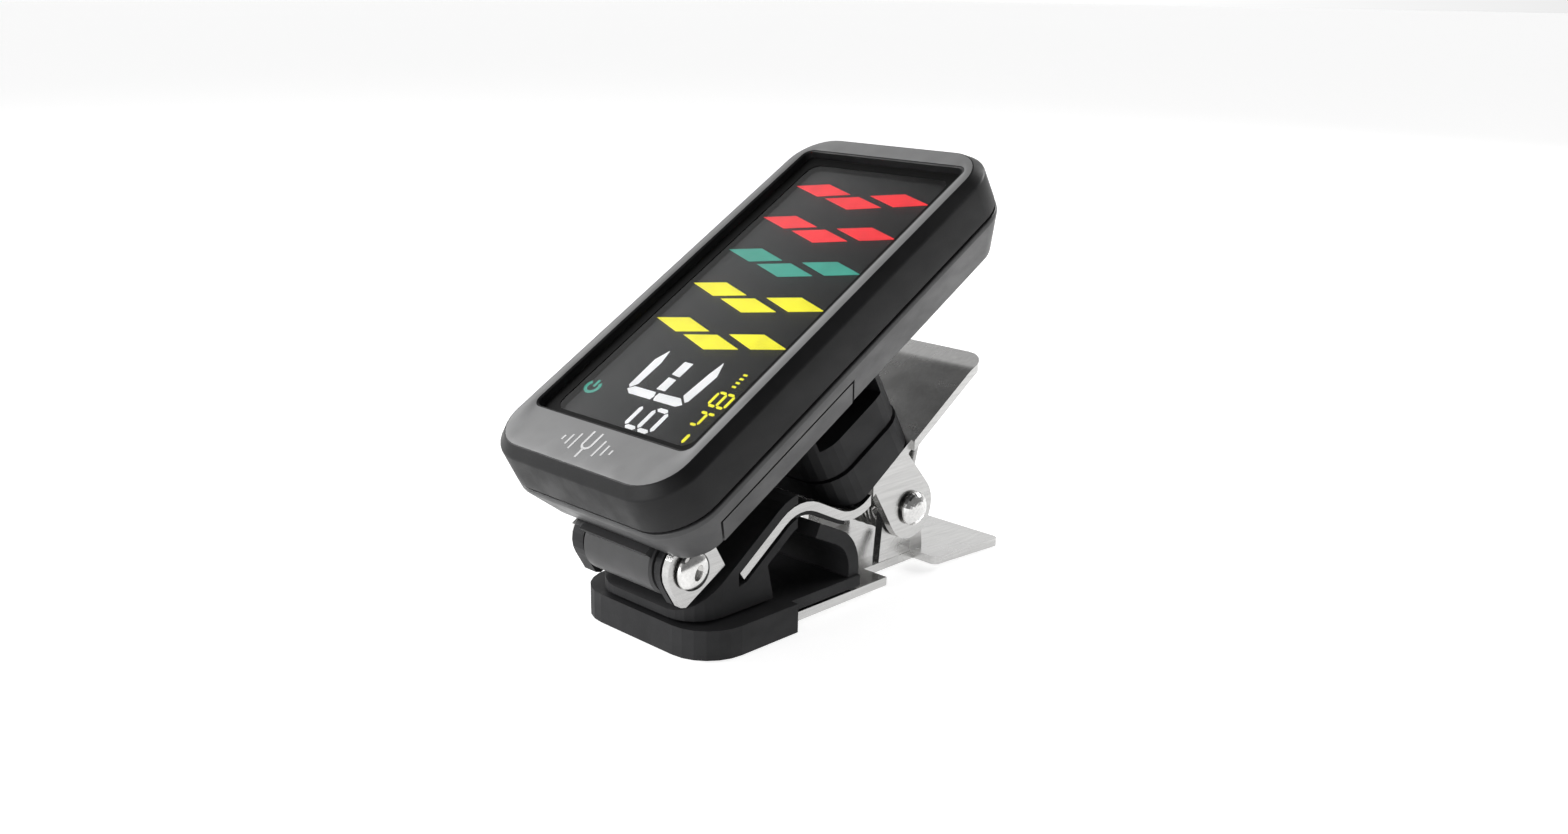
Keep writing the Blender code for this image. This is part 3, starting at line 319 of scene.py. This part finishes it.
def soften(obj, width, segments=3):
    """Rounded edges on a machined or moulded shape, width in millimetres."""
    obj.modifiers.new("round", "NODES").node_group = SMOOTH
    flat = obj.modifiers.new("flats", "DECIMATE")
    flat.decimate_type = "DISSOLVE"
    flat.angle_limit = math.radians(0.5)
    bevel = obj.modifiers.new("edges", "BEVEL")
    bevel.width = width * MM
    bevel.segments = segments
    bevel.limit_method = "ANGLE"
    bevel.angle_limit = math.radians(32)
    bevel.use_clamp_overlap = True
    even = obj.modifiers.new("even", "WEIGHTED_NORMAL")
    even.mode = "FACE_AREA_WITH_ANGLE"
    even.keep_sharp = True


# ---------------------------------------------------------------- materials

def shader_material(name):
    """A new node material, with its tree and its shader."""
    material = bpy.data.materials.new(name)
    material.use_nodes = True
    return material, material.node_tree, material.node_tree.nodes["Principled BSDF"]


def noise(tree, scale, stretch=(1, 1, 1), detail=3.0):
    """A noise field in object space; scale is per metre."""
    place = tree.nodes.new("ShaderNodeTexCoord")
    mapping = tree.nodes.new("ShaderNodeMapping")
    mapping.inputs["Scale"].default_value = stretch
    field = tree.nodes.new("ShaderNodeTexNoise")
    field.inputs["Scale"].default_value = scale
    field.inputs["Detail"].default_value = detail
    tree.links.new(place.outputs["Object"], mapping.inputs["Vector"])
    tree.links.new(mapping.outputs["Vector"], field.inputs["Vector"])
    return field.outputs["Fac"]


def ramp(tree, source, low, high, start=0.35, end=0.65):
    """Maps a field to colours or grey values."""
    node = tree.nodes.new("ShaderNodeValToRGB")
    node.color_ramp.elements[0].position = start
    node.color_ramp.elements[1].position = end
    node.color_ramp.elements[0].color = (*low, 1) if isinstance(low, tuple) else (low, low, low, 1)
    node.color_ramp.elements[1].color = (*high, 1) if isinstance(high, tuple) else (high, high, high, 1)
    tree.links.new(source, node.inputs["Fac"])
    return node.outputs["Color"]


def bump(tree, shader, source, strength, depth):
    """Fine relief from a field; depth is in metres."""
    node = tree.nodes.new("ShaderNodeBump")
    node.inputs["Strength"].default_value = strength
    node.inputs["Distance"].default_value = depth
    tree.links.new(source, node.inputs["Height"])
    tree.links.new(node.outputs["Normal"], shader.inputs["Normal"])


def shade(color, factor):
    """A colour made lighter or darker."""
    return tuple(channel * factor for channel in color)


def moulded(name, color, rough, grain=5200.0, relief=0.25, gloss=0.25, coat=0.0, metal=0.0, mottling=0.14):
    """Moulded or painted plastic and rubber: fine grain, faint mottling, handling marks in the gloss."""
    material, tree, shader = shader_material(name)
    shader.inputs["Metallic"].default_value = metal
    shader.inputs["Specular IOR Level"].default_value = gloss
    shader.inputs["Coat Weight"].default_value = coat
    shader.inputs["Coat Roughness"].default_value = 0.12
    mottle = noise(tree, 260.0, detail=5.0)
    paint = ramp(tree, mottle, shade(color, 1 - mottling), shade(color, 1 + mottling))
    tree.links.new(paint, shader.inputs["Base Color"])
    marks = noise(tree, 420.0, (1.0, 0.45, 1.0), detail=6.0)
    tree.links.new(ramp(tree, marks, rough - 0.05, rough + 0.07), shader.inputs["Roughness"])
    bump(tree, shader, noise(tree, grain, detail=2.0), relief, 0.00003)
    return material


def rolled_steel(name, color, rough, along=(1.0, 0.04, 1.0), relief=0.12):
    """Nickel-plated sheet: rolling grain, faint scratches and cloudy patches."""
    material, tree, shader = shader_material(name)
    shader.inputs["Metallic"].default_value = 1.0
    grain = noise(tree, 3600.0, along, detail=4.0)
    tree.links.new(ramp(tree, grain, shade(color, 0.93), shade(color, 1.05)), shader.inputs["Base Color"])
    cloud = noise(tree, 180.0, detail=5.0)
    tree.links.new(ramp(tree, cloud, rough - 0.03, rough + 0.05), shader.inputs["Roughness"])
    bump(tree, shader, grain, relief, 0.00002)
    return material


def lit_mark(name, color, strength):
    """A lit display segment with the faint unevenness of its backlight."""
    material, tree, shader = shader_material(name)
    shader.inputs["Roughness"].default_value = 0.4
    glow = noise(tree, 300.0, detail=1.0)
    tree.links.new(ramp(tree, glow, shade(color, 0.90), color), shader.inputs["Emission Color"])
    tree.links.new(ramp(tree, glow, shade(color, 0.3), shade(color, 0.4)), shader.inputs["Base Color"])
    shader.inputs["Emission Strength"].default_value = strength
    return material


face_paint = moulded("face_paint", (0.30, 0.30, 0.302), 0.36,
                     relief=0.10, gloss=0.5, metal=0.55, mottling=0.05)
bezel_black = moulded("bezel_black", (0.009, 0.009, 0.0095), 0.45, gloss=0.22)
shell_black = moulded("shell_black", (0.032, 0.032, 0.033), 0.42, gloss=0.5)
arm_black = moulded("arm_black", (0.010, 0.010, 0.011), 0.48, gloss=0.25)
boot_rubber = moulded("boot_rubber", (0.010, 0.010, 0.011), 0.60, grain=3600.0, relief=0.35, gloss=0.3)
button_rubber = moulded("button_rubber", (0.05, 0.05, 0.053), 0.6)
part_black = moulded("part_black", (0.012, 0.012, 0.013), 0.4)
border_black = moulded("border_black", (0.003, 0.003, 0.003), 0.5, relief=0.02, gloss=0.12)
mark_print = moulded("mark_print", (0.68, 0.68, 0.68), 0.5, relief=0.05, mottling=0.04)
steel = rolled_steel("nickel_sheet", (0.56, 0.557, 0.55), 0.24)
bright = rolled_steel("nickel_bright", (0.74, 0.735, 0.725), 0.15, (1, 1, 1), 0.05)
wire_steel = rolled_steel("spring_wire", (0.42, 0.415, 0.41), 0.24, (1, 1, 1), 0.08)
cell_steel = rolled_steel("cell_steel", (0.74, 0.74, 0.75), 0.22, (1, 1, 1), 0.05)
brass = rolled_steel("brass_strip", (0.78, 0.58, 0.28), 0.25, (1, 1, 1), 0.08)
board_green = moulded("solder_mask", (0.012, 0.11, 0.045), 0.35, grain=1500.0, coat=0.4)
guide_white = moulded("light_guide", (0.80, 0.82, 0.84), 0.3, relief=0.05)


def display_glass():
    """Dark display glass with a painted reflection: its colour grows a little greyer towards its far end."""
    material, tree, shader = shader_material("display_panel")
    place = tree.nodes.new("ShaderNodeTexCoord")
    split = tree.nodes.new("ShaderNodeSeparateXYZ")
    tree.links.new(place.outputs["Generated"], split.inputs["Vector"])
    # Painted reflection: the base colour runs from near black at the front to grey at the far end.
    tree.links.new(ramp(tree, split.outputs["Y"], 0.004, 0.034, 0.10, 0.85), shader.inputs["Base Color"])
    tree.links.new(ramp(tree, noise(tree, 260.0), 0.28, 0.36), shader.inputs["Roughness"])
    bump(tree, shader, noise(tree, 9000.0), 0.02, 0.00001)
    shader.inputs["Specular IOR Level"].default_value = 0.2
    return material


panel_dark = display_glass()
seg_red = lit_mark("segment_red", (1.0, 0.030, 0.040), 1.0)
seg_teal = lit_mark("segment_teal", (0.045, 0.36, 0.27), 1.0)
seg_yellow = lit_mark("segment_yellow", (1.0, 0.93, 0.02), 1.0)
seg_white = lit_mark("segment_white", (0.95, 0.95, 0.95), 1.0)


def clear_lens():
    """Clear acrylic with faint smears."""
    material, tree, shader = shader_material("clear_lens")
    shader.inputs["Base Color"].default_value = (0.93, 0.94, 0.95, 1)
    shader.inputs["Transmission Weight"].default_value = 1.0
    shader.inputs["IOR"].default_value = 1.47
    shader.inputs["Specular IOR Level"].default_value = 0.2
    smear = noise(tree, 140.0, (1.0, 0.3, 1.0), detail=4.0)
    tree.links.new(ramp(tree, smear, 0.02, 0.05), shader.inputs["Roughness"])
    return material


lens = clear_lens()


# ---------------------------------------------------------------- head

def make_bezel():
    """Front shell: painted face, chamfer, side wall and the recess round the display."""
    side = [(-0.6, 0.0), (0.0, 0.0), (CHAMFER, -CHAMFER_DROP), (RIM, -FRONT_SEAM), (-SEAM_INSET, -FRONT_SEAM)]
    side = rounded(side, [0, 0.22, 0.5, 0.12, 0], closed=False, steps=4)
    rings = [window_ring(LIP, -0.04), window_ring(0.25, 0.0)]
    rings += [head_ring(out, z) for out, z in side]
    rings += [head_ring(-SEAM_INSET, -LEDGE), window_ring(0.0, -LEDGE), window_ring(0.0, -LIP)]
    bm = loft(rings, closed=True, paint=lambda band: 0 if band in (1, 2) else 1)
    return piece("face_bezel", bm, "head", [face_paint, bezel_black], HEAD, ["front_bezel"])


def make_rear_shell():
    """Rear shell: rim, band, long taper to a rounded floor, with its openings."""
    side = [(-SEAM_INSET, -REAR_SEAM), (RIM, -REAR_SEAM), (RIM, -BAND), (-CASE_TAPER, -DEPTH), (-3.0, -DEPTH)]
    side = rounded(side, [0, 0.15, 0.5, 0.55, 0], closed=False, steps=4)
    floor = CASE_FLOOR - DEPTH
    rings = [head_ring(-2.2, floor), head_ring(-1.99, floor), head_ring(-SEAM_INSET, -BAND)]
    rings += [head_ring(out, z) for out, z in side]
    shell = piece("rear_case", loft(rings), "head", [shell_black], HEAD, ["rear_shell"])
    low, high = extent(points_of("battery_door", HEAD))
    plan = corners(low.x - DOOR_GAP, 2 * FACE_HALF, low.y - DOOR_GAP, high.y + DOOR_GAP)
    carve(shell, prism(rounded(plan, [HOLE_CORNER] * 4), -DEPTH - PAST, high.z + DOOR_GAP), HEAD)
    for button in ("power_button", "mode_button"):
        points = points_of(button, HEAD)
        proud = extent(points)[0].x + 0.1
        low, high = extent([point for point in points if point.x < proud])
        hole = corners(low.y - BUTTON_GAP, high.y + BUTTON_GAP, low.z - BUTTON_GAP, high.z + BUTTON_GAP)
        cutter = prism(rounded(hole, [HOLE_CORNER] * 4), -1.5 * FACE_HALF, -0.6 * FACE_HALF, "X")
        carve(shell, cutter, HEAD)
    for screw in ("case_screw_left", "case_screw_right"):
        low, high = extent(points_of(screw, HEAD))
        middle = (low + high) / 2
        top, bottom = RECESS_DEPTH - DEPTH, -DEPTH - PAST
        recess = lathe([(0, top), (RECESS_R, top), (RECESS_R, bottom), (0, bottom)], 28)
        carve(shell, recess, HEAD @ Matrix.Translation(Vector((middle.x, middle.y, 0)) * MM))
    return shell


def make_knuckle():
    """Barrel under the head with its web; the tilt screw runs through it."""
    bore, edge, cup_r, cup_depth = 1.3, 0.25, 2.7, 0.8
    left = extent(points_of("friction_washer_left", BARREL))[0].x
    right = extent(points_of("friction_washer_right", BARREL))[1].x
    radius = -extent(points_of("rear_shell", BARREL))[0].z
    barrel = lathe([(bore, left), (radius - edge, left), (radius, left + edge), (radius, right - edge),
                    (radius - edge, right), (bore, right), (bore, left)], 56)
    knuckle = piece("tilt_knuckle", crosswise(barrel), "head", [shell_black], BARREL,
                    ["rear_shell"])
    web = [(-1.75, 2.2), (1.75, 2.2), (2.3, 3.6), (-2.3, 3.6)]
    carve(knuckle, prism(web, left + 0.15, right - 0.15, "X"), BARREL, "UNION")
    for start, end in ((left - PAST, left + cup_depth), (right - cup_depth, right + PAST)):
        cup = lathe([(0, end), (cup_r, end), (cup_r, start), (0, start)], 40)
        carve(knuckle, crosswise(cup), BARREL)
    return knuckle


def make_display():
    """Lens with its printed border."""
    corner, gap, thick = 0.7, 0.01, 0.05
    outline = rectangle(LENS_HIGH.x, LENS_LOW.y, LENS_HIGH.y, corner)
    clear = prism(outline, LENS_LOW.z, LENS_HIGH.z)
    glass = piece("window_lens", clear, "head", [lens], HEAD, ["display_lens"])
    soften(glass, 0.08, 2)
    sides = (WINDOW_HALF - 1.45, WINDOW_FRONT + 0.95, WINDOW_REAR - 1.5)
    active = [(x + 0.3, y) for x, y in rectangle(*sides, 1.4)]
    edge = rectangle(LENS_HIGH.x - gap, LENS_LOW.y + gap, LENS_HIGH.y - gap, corner)
    low, high = LENS_HIGH.z + gap, LENS_HIGH.z + gap + thick
    heights = ((active, low), (active, high), (edge, high), (edge, low))
    rings = [[(x, y, z) for x, y in ring] for ring, z in heights]
    piece("lens_border", loft(rings, closed=True), "head", [border_black], HEAD)


def strokes(shapes):
    """Flat marks just above the display panel, from outlines in millimetres."""
    return joined(*[prism(shape, DISPLAY_TOP + 0.03, DISPLAY_TOP + 0.10) for shape in shapes])


def stroke(start, end, width):
    """A bar with pointed ends; coordinates run along the reading direction and up the glyph."""
    run = (end - start).normalized()
    side = Vector((-run.y, run.x)) * width / 2
    tip = run * width / 2
    points = [start, start + tip + side, end - tip + side, end, end - tip - side, start + tip - side]
    return [(-v, u) for u, v in points]


SEVEN = {
    "top": ((0, 1), (1, 1)), "middle": ((0, 0.5), (1, 0.5)), "bottom": ((0, 0), (1, 0)),
    "upper_left": ((0, 0.5), (0, 1)), "lower_left": ((0, 0), (0, 0.5)),
    "upper_right": ((1, 0.5), (1, 1)), "lower_right": ((1, 0), (1, 0.5)),
}
GLYPHS = {
    "6": ("top", "middle", "bottom", "upper_left", "lower_left", "lower_right"),
    "4": ("middle", "upper_left", "upper_right", "lower_right"),
    "8": tuple(SEVEN),
}


def glyph(character, origin, size, width):
    """Segments of one character whose lower left corner is at origin (x, y) on the face."""
    shapes = []
    gap = 0.06 * size[0]
    for name in GLYPHS[character]:
        start, end = [Vector((u * size[0], v * size[1])) for u, v in SEVEN[name]]
        run = (end - start).normalized() * gap
        outline = stroke(start + run, end - run, width)
        shapes.append([(origin[0] + x, origin[1] + y) for x, y in outline])
    return shapes


def chevrons(y):
    """Three lozenges across the display, the middle one nearer the front."""
    shapes = []
    for x, drop in ((-5.65, 0.0), (0.0, 1.5), (5.55, 0.0)):
        level = y - drop
        shapes.append([(x - 4.2, level + 0.1), (x, level - 1.2), (x + 4.15, level - 0.1), (x, level + 1.15)])
    return shapes


def arc(radius, degrees):
    """Points round the origin at some angles."""
    return [(radius * math.cos(math.radians(a)), radius * math.sin(math.radians(a))) for a in degrees]


def make_marks():
    """Lit marks: five rows of lozenges, a ring sign, two small numbers, a note and its number."""
    pitch, first = 6.22, 22.3
    rows = [chevrons(first + pitch * k) for k in range(5)]
    piece("marks_red", strokes(rows[3] + rows[4]), "head", [seg_red], HEAD)
    ring = arc(0.95, range(45, 316, 30)) + arc(0.62, range(315, 44, -30))
    sign = [(-8.7 - v * 1.15, 10.95 + u * 1.05) for u, v in ring]
    bar = corners(-8.75, -8.45, 11.0, 11.95)
    piece("marks_teal", strokes(rows[2] + [sign, bar]), "head", [seg_teal], HEAD)
    small = glyph("4", (9.0, 10.0), (1.75, 2.0), 0.3) + glyph("8", (9.15, 12.8), (1.9, 2.2), 0.3)
    dash = [[(8.25 + x, 7.5 + y) for x, y in stroke(Vector((0, 0)), Vector((1.25, 0)), 0.36)]]
    ticks = [corners(7.7, 8.2, y, y + 0.22) for y in (15.7, 16.3, 16.9, 17.5)]
    yellow = rows[0] + rows[1] + small + dash + ticks
    piece("marks_yellow", strokes(yellow), "head", [seg_yellow], HEAD)
    letter = [
        [(-4.2, 11.95), (-3.5, 11.45), (-0.25, 11.45), (-0.1, 11.95), (-0.35, 12.5), (-3.5, 12.5)],
        [(0.1, 11.95), (0.3, 11.45), (3.5, 11.45), (4.15, 11.9), (3.3, 12.6), (0.2, 12.5)],
        [(-4.45, 12.5), (-4.15, 12.25), (-3.5, 12.95), (-3.35, 16.4), (-3.75, 18.2), (-4.5, 16.6)],
        [(3.3, 13.0), (4.15, 12.25), (4.45, 12.5), (4.9, 16.5), (4.15, 18.4), (3.75, 16.6)],
        [(-0.65, 12.95), (0.55, 12.95), (0.55, 14.7), (-0.6, 14.8)],
        [(-0.6, 15.3), (0.6, 15.2), (0.65, 17.3), (-0.55, 17.3)],
    ]
    note = letter + glyph("6", (3.6, 7.45), (3.05, 3.75), 0.5)
    piece("marks_white", strokes(note), "head", [seg_white], HEAD)


def make_face_mark():
    """A small printed tuning-fork sign on the front strip."""
    ink = 0.02
    tine, half, fork_y = 0.62, 0.14, 2.9
    wave_half, wave_y = 0.12, 2.8
    shapes = [corners(side * tine - half, side * tine + half, fork_y, 4.6) for side in (-1, 1)]
    bow = arc(tine + half, range(180, 361, 15)) + arc(tine - half, range(360, 179, -15))
    shapes.append([(x, fork_y + y) for x, y in bow])
    shapes.append(corners(-half, half, 1.0, 2.2))
    for side in (-1, 1):
        for step in (1, 2, 3):
            x = side * (0.9 + 0.9 * step)
            tall = 1.5 - 0.4 * step
            shapes.append(corners(x - wave_half, x + wave_half, wave_y - tall, wave_y + tall))
    sign = joined(*[prism(shape, 0.0, ink) for shape in shapes])
    piece("face_mark", sign, "head", [mark_print], HEAD)


make_bezel()
make_rear_shell()
make_knuckle()
make_display()
make_marks()
make_face_mark()


# ---------------------------------------------------------------- clip and hinge

def make_jaw_lining():
    """Thin rubber skin that carries the boot on under the hump."""
    first, step, count = -19.75, 0.3, 27
    half, gap, thick = 7.8, 0.06, 0.44
    faces = [list(polygon.vertices) for polygon in nodes["upper_lever"].data.polygons]
    tree = BVHTree.FromPolygons(points_of("upper_lever", CLIP), faces)
    line = []
    for k in range(count):
        y = first + step * k
        place, _, _, _ = tree.ray_cast(Vector((7.0, y, -30)), Vector((0, 0, 1)))
        line.append((y, place.z))
    low, high = [(y, z - gap) for y, z in line], [(y, z - gap - thick) for y, z in line]
    skin = prism(low + high[::-1], -half, half, "X")
    return piece("jaw_lining", skin, "upper_jaw", [boot_rubber], CLIP)


def make_hinge_screw():
    """Dome-headed screw with an oval driver recess."""
    head_r, rise, shank_r, tip = 2.1, 0.95, 1.0, 0.15
    low, high = extent(points_of("hinge_screw", BARREL))
    end, top = low.x, high.x
    dome = [(out, top - rise * (1 - along / head_r)) for along, out in arc(head_r, range(0, 91, 9))]
    shank = [(shank_r, top - 1.0), (shank_r, end + tip), (shank_r - tip, end), (0, end)]
    turned = crosswise(lathe(dome + [(head_r, top - 1.0)] + shank))
    screw = piece("tilt_screw", turned, "arm", [bright], BARREL, ["hinge_screw"])
    oval = [(0.85 * math.cos(a), 0.5 * math.sin(a)) for a in round_turn(24)]
    slant = Matrix.Rotation(math.radians(35), 4, "X")
    carve(screw, prism(oval, top - 0.55, top + 0.5, "X"), BARREL @ slant)
    soften(screw, 0.06, 2)
    return screw


def tube(path, radius, sides=12):
    """A closed round wire along a path, in millimetres."""
    rings = []
    normal = Vector((1, 0, 0))
    for i, point in enumerate(path):
        run = (path[min(i + 1, len(path) - 1)] - path[max(i - 1, 0)]).normalized()
        normal = (normal - run * normal.dot(run)).normalized()
        other = run.cross(normal)
        spokes = [normal * math.cos(angle) + other * math.sin(angle) for angle in round_turn(sides)]
        rings.append([point + spoke * radius for spoke in spokes])
    return loft(rings)


def middle_of(points):
    """Mean of some points."""
    return sum(points, Vector()) / len(points)


def make_spring():
    """Torsion spring between the two levers, in its rest shape."""
    coil_r, wire_r, turns, steps = 2.9, 0.52, 6, 32
    wire = points_of("torsion_spring", CLIP)
    legs = [point for point in wire if math.hypot(point.y, point.z) > coil_r + 1.5]
    low = middle_of([point for point in legs if point.x < 0])
    high = middle_of([point for point in legs if point.x > 0])
    start = math.atan2(low.z, low.y) + math.acos(coil_r / math.hypot(low.y, low.z))
    end = math.atan2(high.z, high.y) - math.acos(coil_r / math.hypot(high.y, high.z))
    sweep = end - start + 2 * math.pi * turns
    count = round(sweep / (2 * math.pi) * steps)
    path = [low]
    for k in range(count + 1):
        angle = start + sweep * k / count
        x = low.x + (high.x - low.x) * k / count
        path.append(Vector((x, coil_r * math.cos(angle), coil_r * math.sin(angle))))
    path.append(high)
    spring = placed("leg_spring", tube(path, wire_r), CLIP, [wire_steel], WIRE_CREASE)
    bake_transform(spring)
    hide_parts("torsion_spring")


make_jaw_lining()
make_hinge_screw()
make_spring()


# ---------------------------------------------------------------- CAD nodes that stay

# Material and edge radius in millimetres; a turned piece or a wire has none
KEPT = {
    "lower_lever": (steel, 0.14),
    "upper_lever": (steel, 0.14),
    "pivot_pin": (bright, 0),
    "lower_jaw_boot": (boot_rubber, 0.35),
    "upper_jaw_boot": (boot_rubber, 0.28),
    "swivel_base": (arm_black, 0.3),
    "swivel_rivet": (bright, 0),
    "hinge_arm": (arm_black, 0.3),
    "hinge_side_plate": (steel, 0.12),
    "hinge_nut": (bright, 0.15),
    "swivel_washer": (bright, 0.08),
    "lcd_panel": (panel_dark, 0.05),
    "backlight_panel": (guide_white, 0.1),
    "display_connector": (part_black, 0.1),
    "main_pcb": (board_green, 0.05),
    "controller_chip": (part_black, 0.1),
    "coin_cell": (cell_steel, 0.25),
    "battery_contact_positive": (brass, 0.04),
    "battery_contact_negative": (brass, 0.04),
    "piezo_sensor": (brass, 0.03),
    "friction_washer_left": (bright, 0.08),
    "friction_washer_right": (bright, 0.08),
    "case_screw_left": (bright, 0.1),
    "case_screw_right": (bright, 0.1),
    "power_switch": (part_black, 0.1),
    "mode_switch": (part_black, 0.1),
    "battery_door": (shell_black, 0.12),
    "power_button": (button_rubber, 0.25),
    "mode_button": (button_rubber, 0.25),
}
for name, (material, edge) in KEPT.items():
    node = nodes[name]
    node.data.materials.clear()
    node.data.materials.append(material)
    if edge:
        soften(node, edge)
    else:
        shade_round(node)


# ---------------------------------------------------------------- stage

def make_floor():
    """A pale glowing sheet just under the clip."""
    half, drop = 40.0, 0.00005
    bm = bmesh.new()
    bmesh.ops.create_grid(bm, x_segments=2, y_segments=2, size=half)
    mesh = bpy.data.meshes.new("floor")
    bm.to_mesh(mesh)
    bm.free()
    floor = bpy.data.objects.new("floor", mesh)
    bpy.context.scene.collection.objects.link(floor)
    floor.location.z = -drop
    paper = moulded("floor_paper", (0.62, 0.62, 0.62), 0.8,
                    grain=900.0, relief=0.02, gloss=0.1, mottling=0.01)
    glow = paper.node_tree.nodes["Principled BSDF"]
    glow.inputs["Emission Color"].default_value = (1, 1, 1, 1)
    glow.inputs["Emission Strength"].default_value = 0.72
    mesh.materials.append(paper)


def area_light(name, place, size, power):
    """A soft light aimed at the clip."""
    aim = Vector((0, 0, 0.02))
    data = bpy.data.lights.new(name, "AREA")
    data.shape = "RECTANGLE"
    data.size, data.size_y = size
    data.energy = power
    light = bpy.data.objects.new(name, data)
    light.location = place
    light.rotation_euler = (aim - Vector(place)).to_track_quat("-Z", "Y").to_euler()
    bpy.context.scene.collection.objects.link(light)


def make_world():
    """Bright near the horizon and on the left, dim overhead and on the right."""
    world = bpy.data.worlds.new("studio")
    bpy.context.scene.world = world
    world.use_nodes = True
    tree = world.node_tree
    place = tree.nodes.new("ShaderNodeTexCoord")
    split = tree.nodes.new("ShaderNodeSeparateXYZ")
    tree.links.new(place.outputs["Generated"], split.inputs["Vector"])
    height = ramp(tree, split.outputs["Z"], 1.0, 0.12, 0.58, 0.74)
    side = tree.nodes.new("ShaderNodeMapRange")
    side.inputs["From Min"].default_value = -0.5
    side.inputs["From Max"].default_value = 0.6
    tree.links.new(split.outputs["X"], side.inputs["Value"])
    dim = ramp(tree, side.outputs["Result"], 1.0, 0.22, 0.0, 1.0)
    both = tree.nodes.new("ShaderNodeMix")
    both.data_type = "RGBA"
    both.blend_type = "MULTIPLY"
    both.inputs["Factor"].default_value = 1.0
    tree.links.new(height, both.inputs["A"])
    tree.links.new(dim, both.inputs["B"])
    tree.links.new(both.outputs["Result"], tree.nodes["Background"].inputs["Color"])
    tree.nodes["Background"].inputs["Strength"].default_value = 1.0


def make_camera():
    """The photograph's viewpoint, in metres."""
    place = Vector((0.109371, -0.113130, 0.064138))
    aim = Vector((-0.66612, 0.69491, -0.27088)).normalized()
    up = Vector((0.71847, 0.69535, 0.01706)).cross(aim).normalized()
    right = aim.cross(up)
    data = bpy.data.cameras.new("camera")
    data.sensor_width = 36.0
    data.lens = 34.28
    data.clip_start = 0.005
    camera = bpy.data.objects.new("camera", data)
    bpy.context.scene.collection.objects.link(camera)
    turned = Matrix((right, up, -aim)).transposed().to_4x4()
    camera.matrix_world = Matrix.Translation(place) @ turned
    bpy.context.scene.camera = camera


make_floor()
make_world()
area_light("key", (-0.42, -0.26, 0.30), (0.22, 0.22), 2.2)
area_light("front", (0.00, -0.55, 0.10), (0.30, 0.16), 1.2)
area_light("rear", (0.10, 0.50, 0.30), (0.30, 0.20), 1.6)
make_camera()
bpy.context.scene.view_settings.view_transform = "Standard"
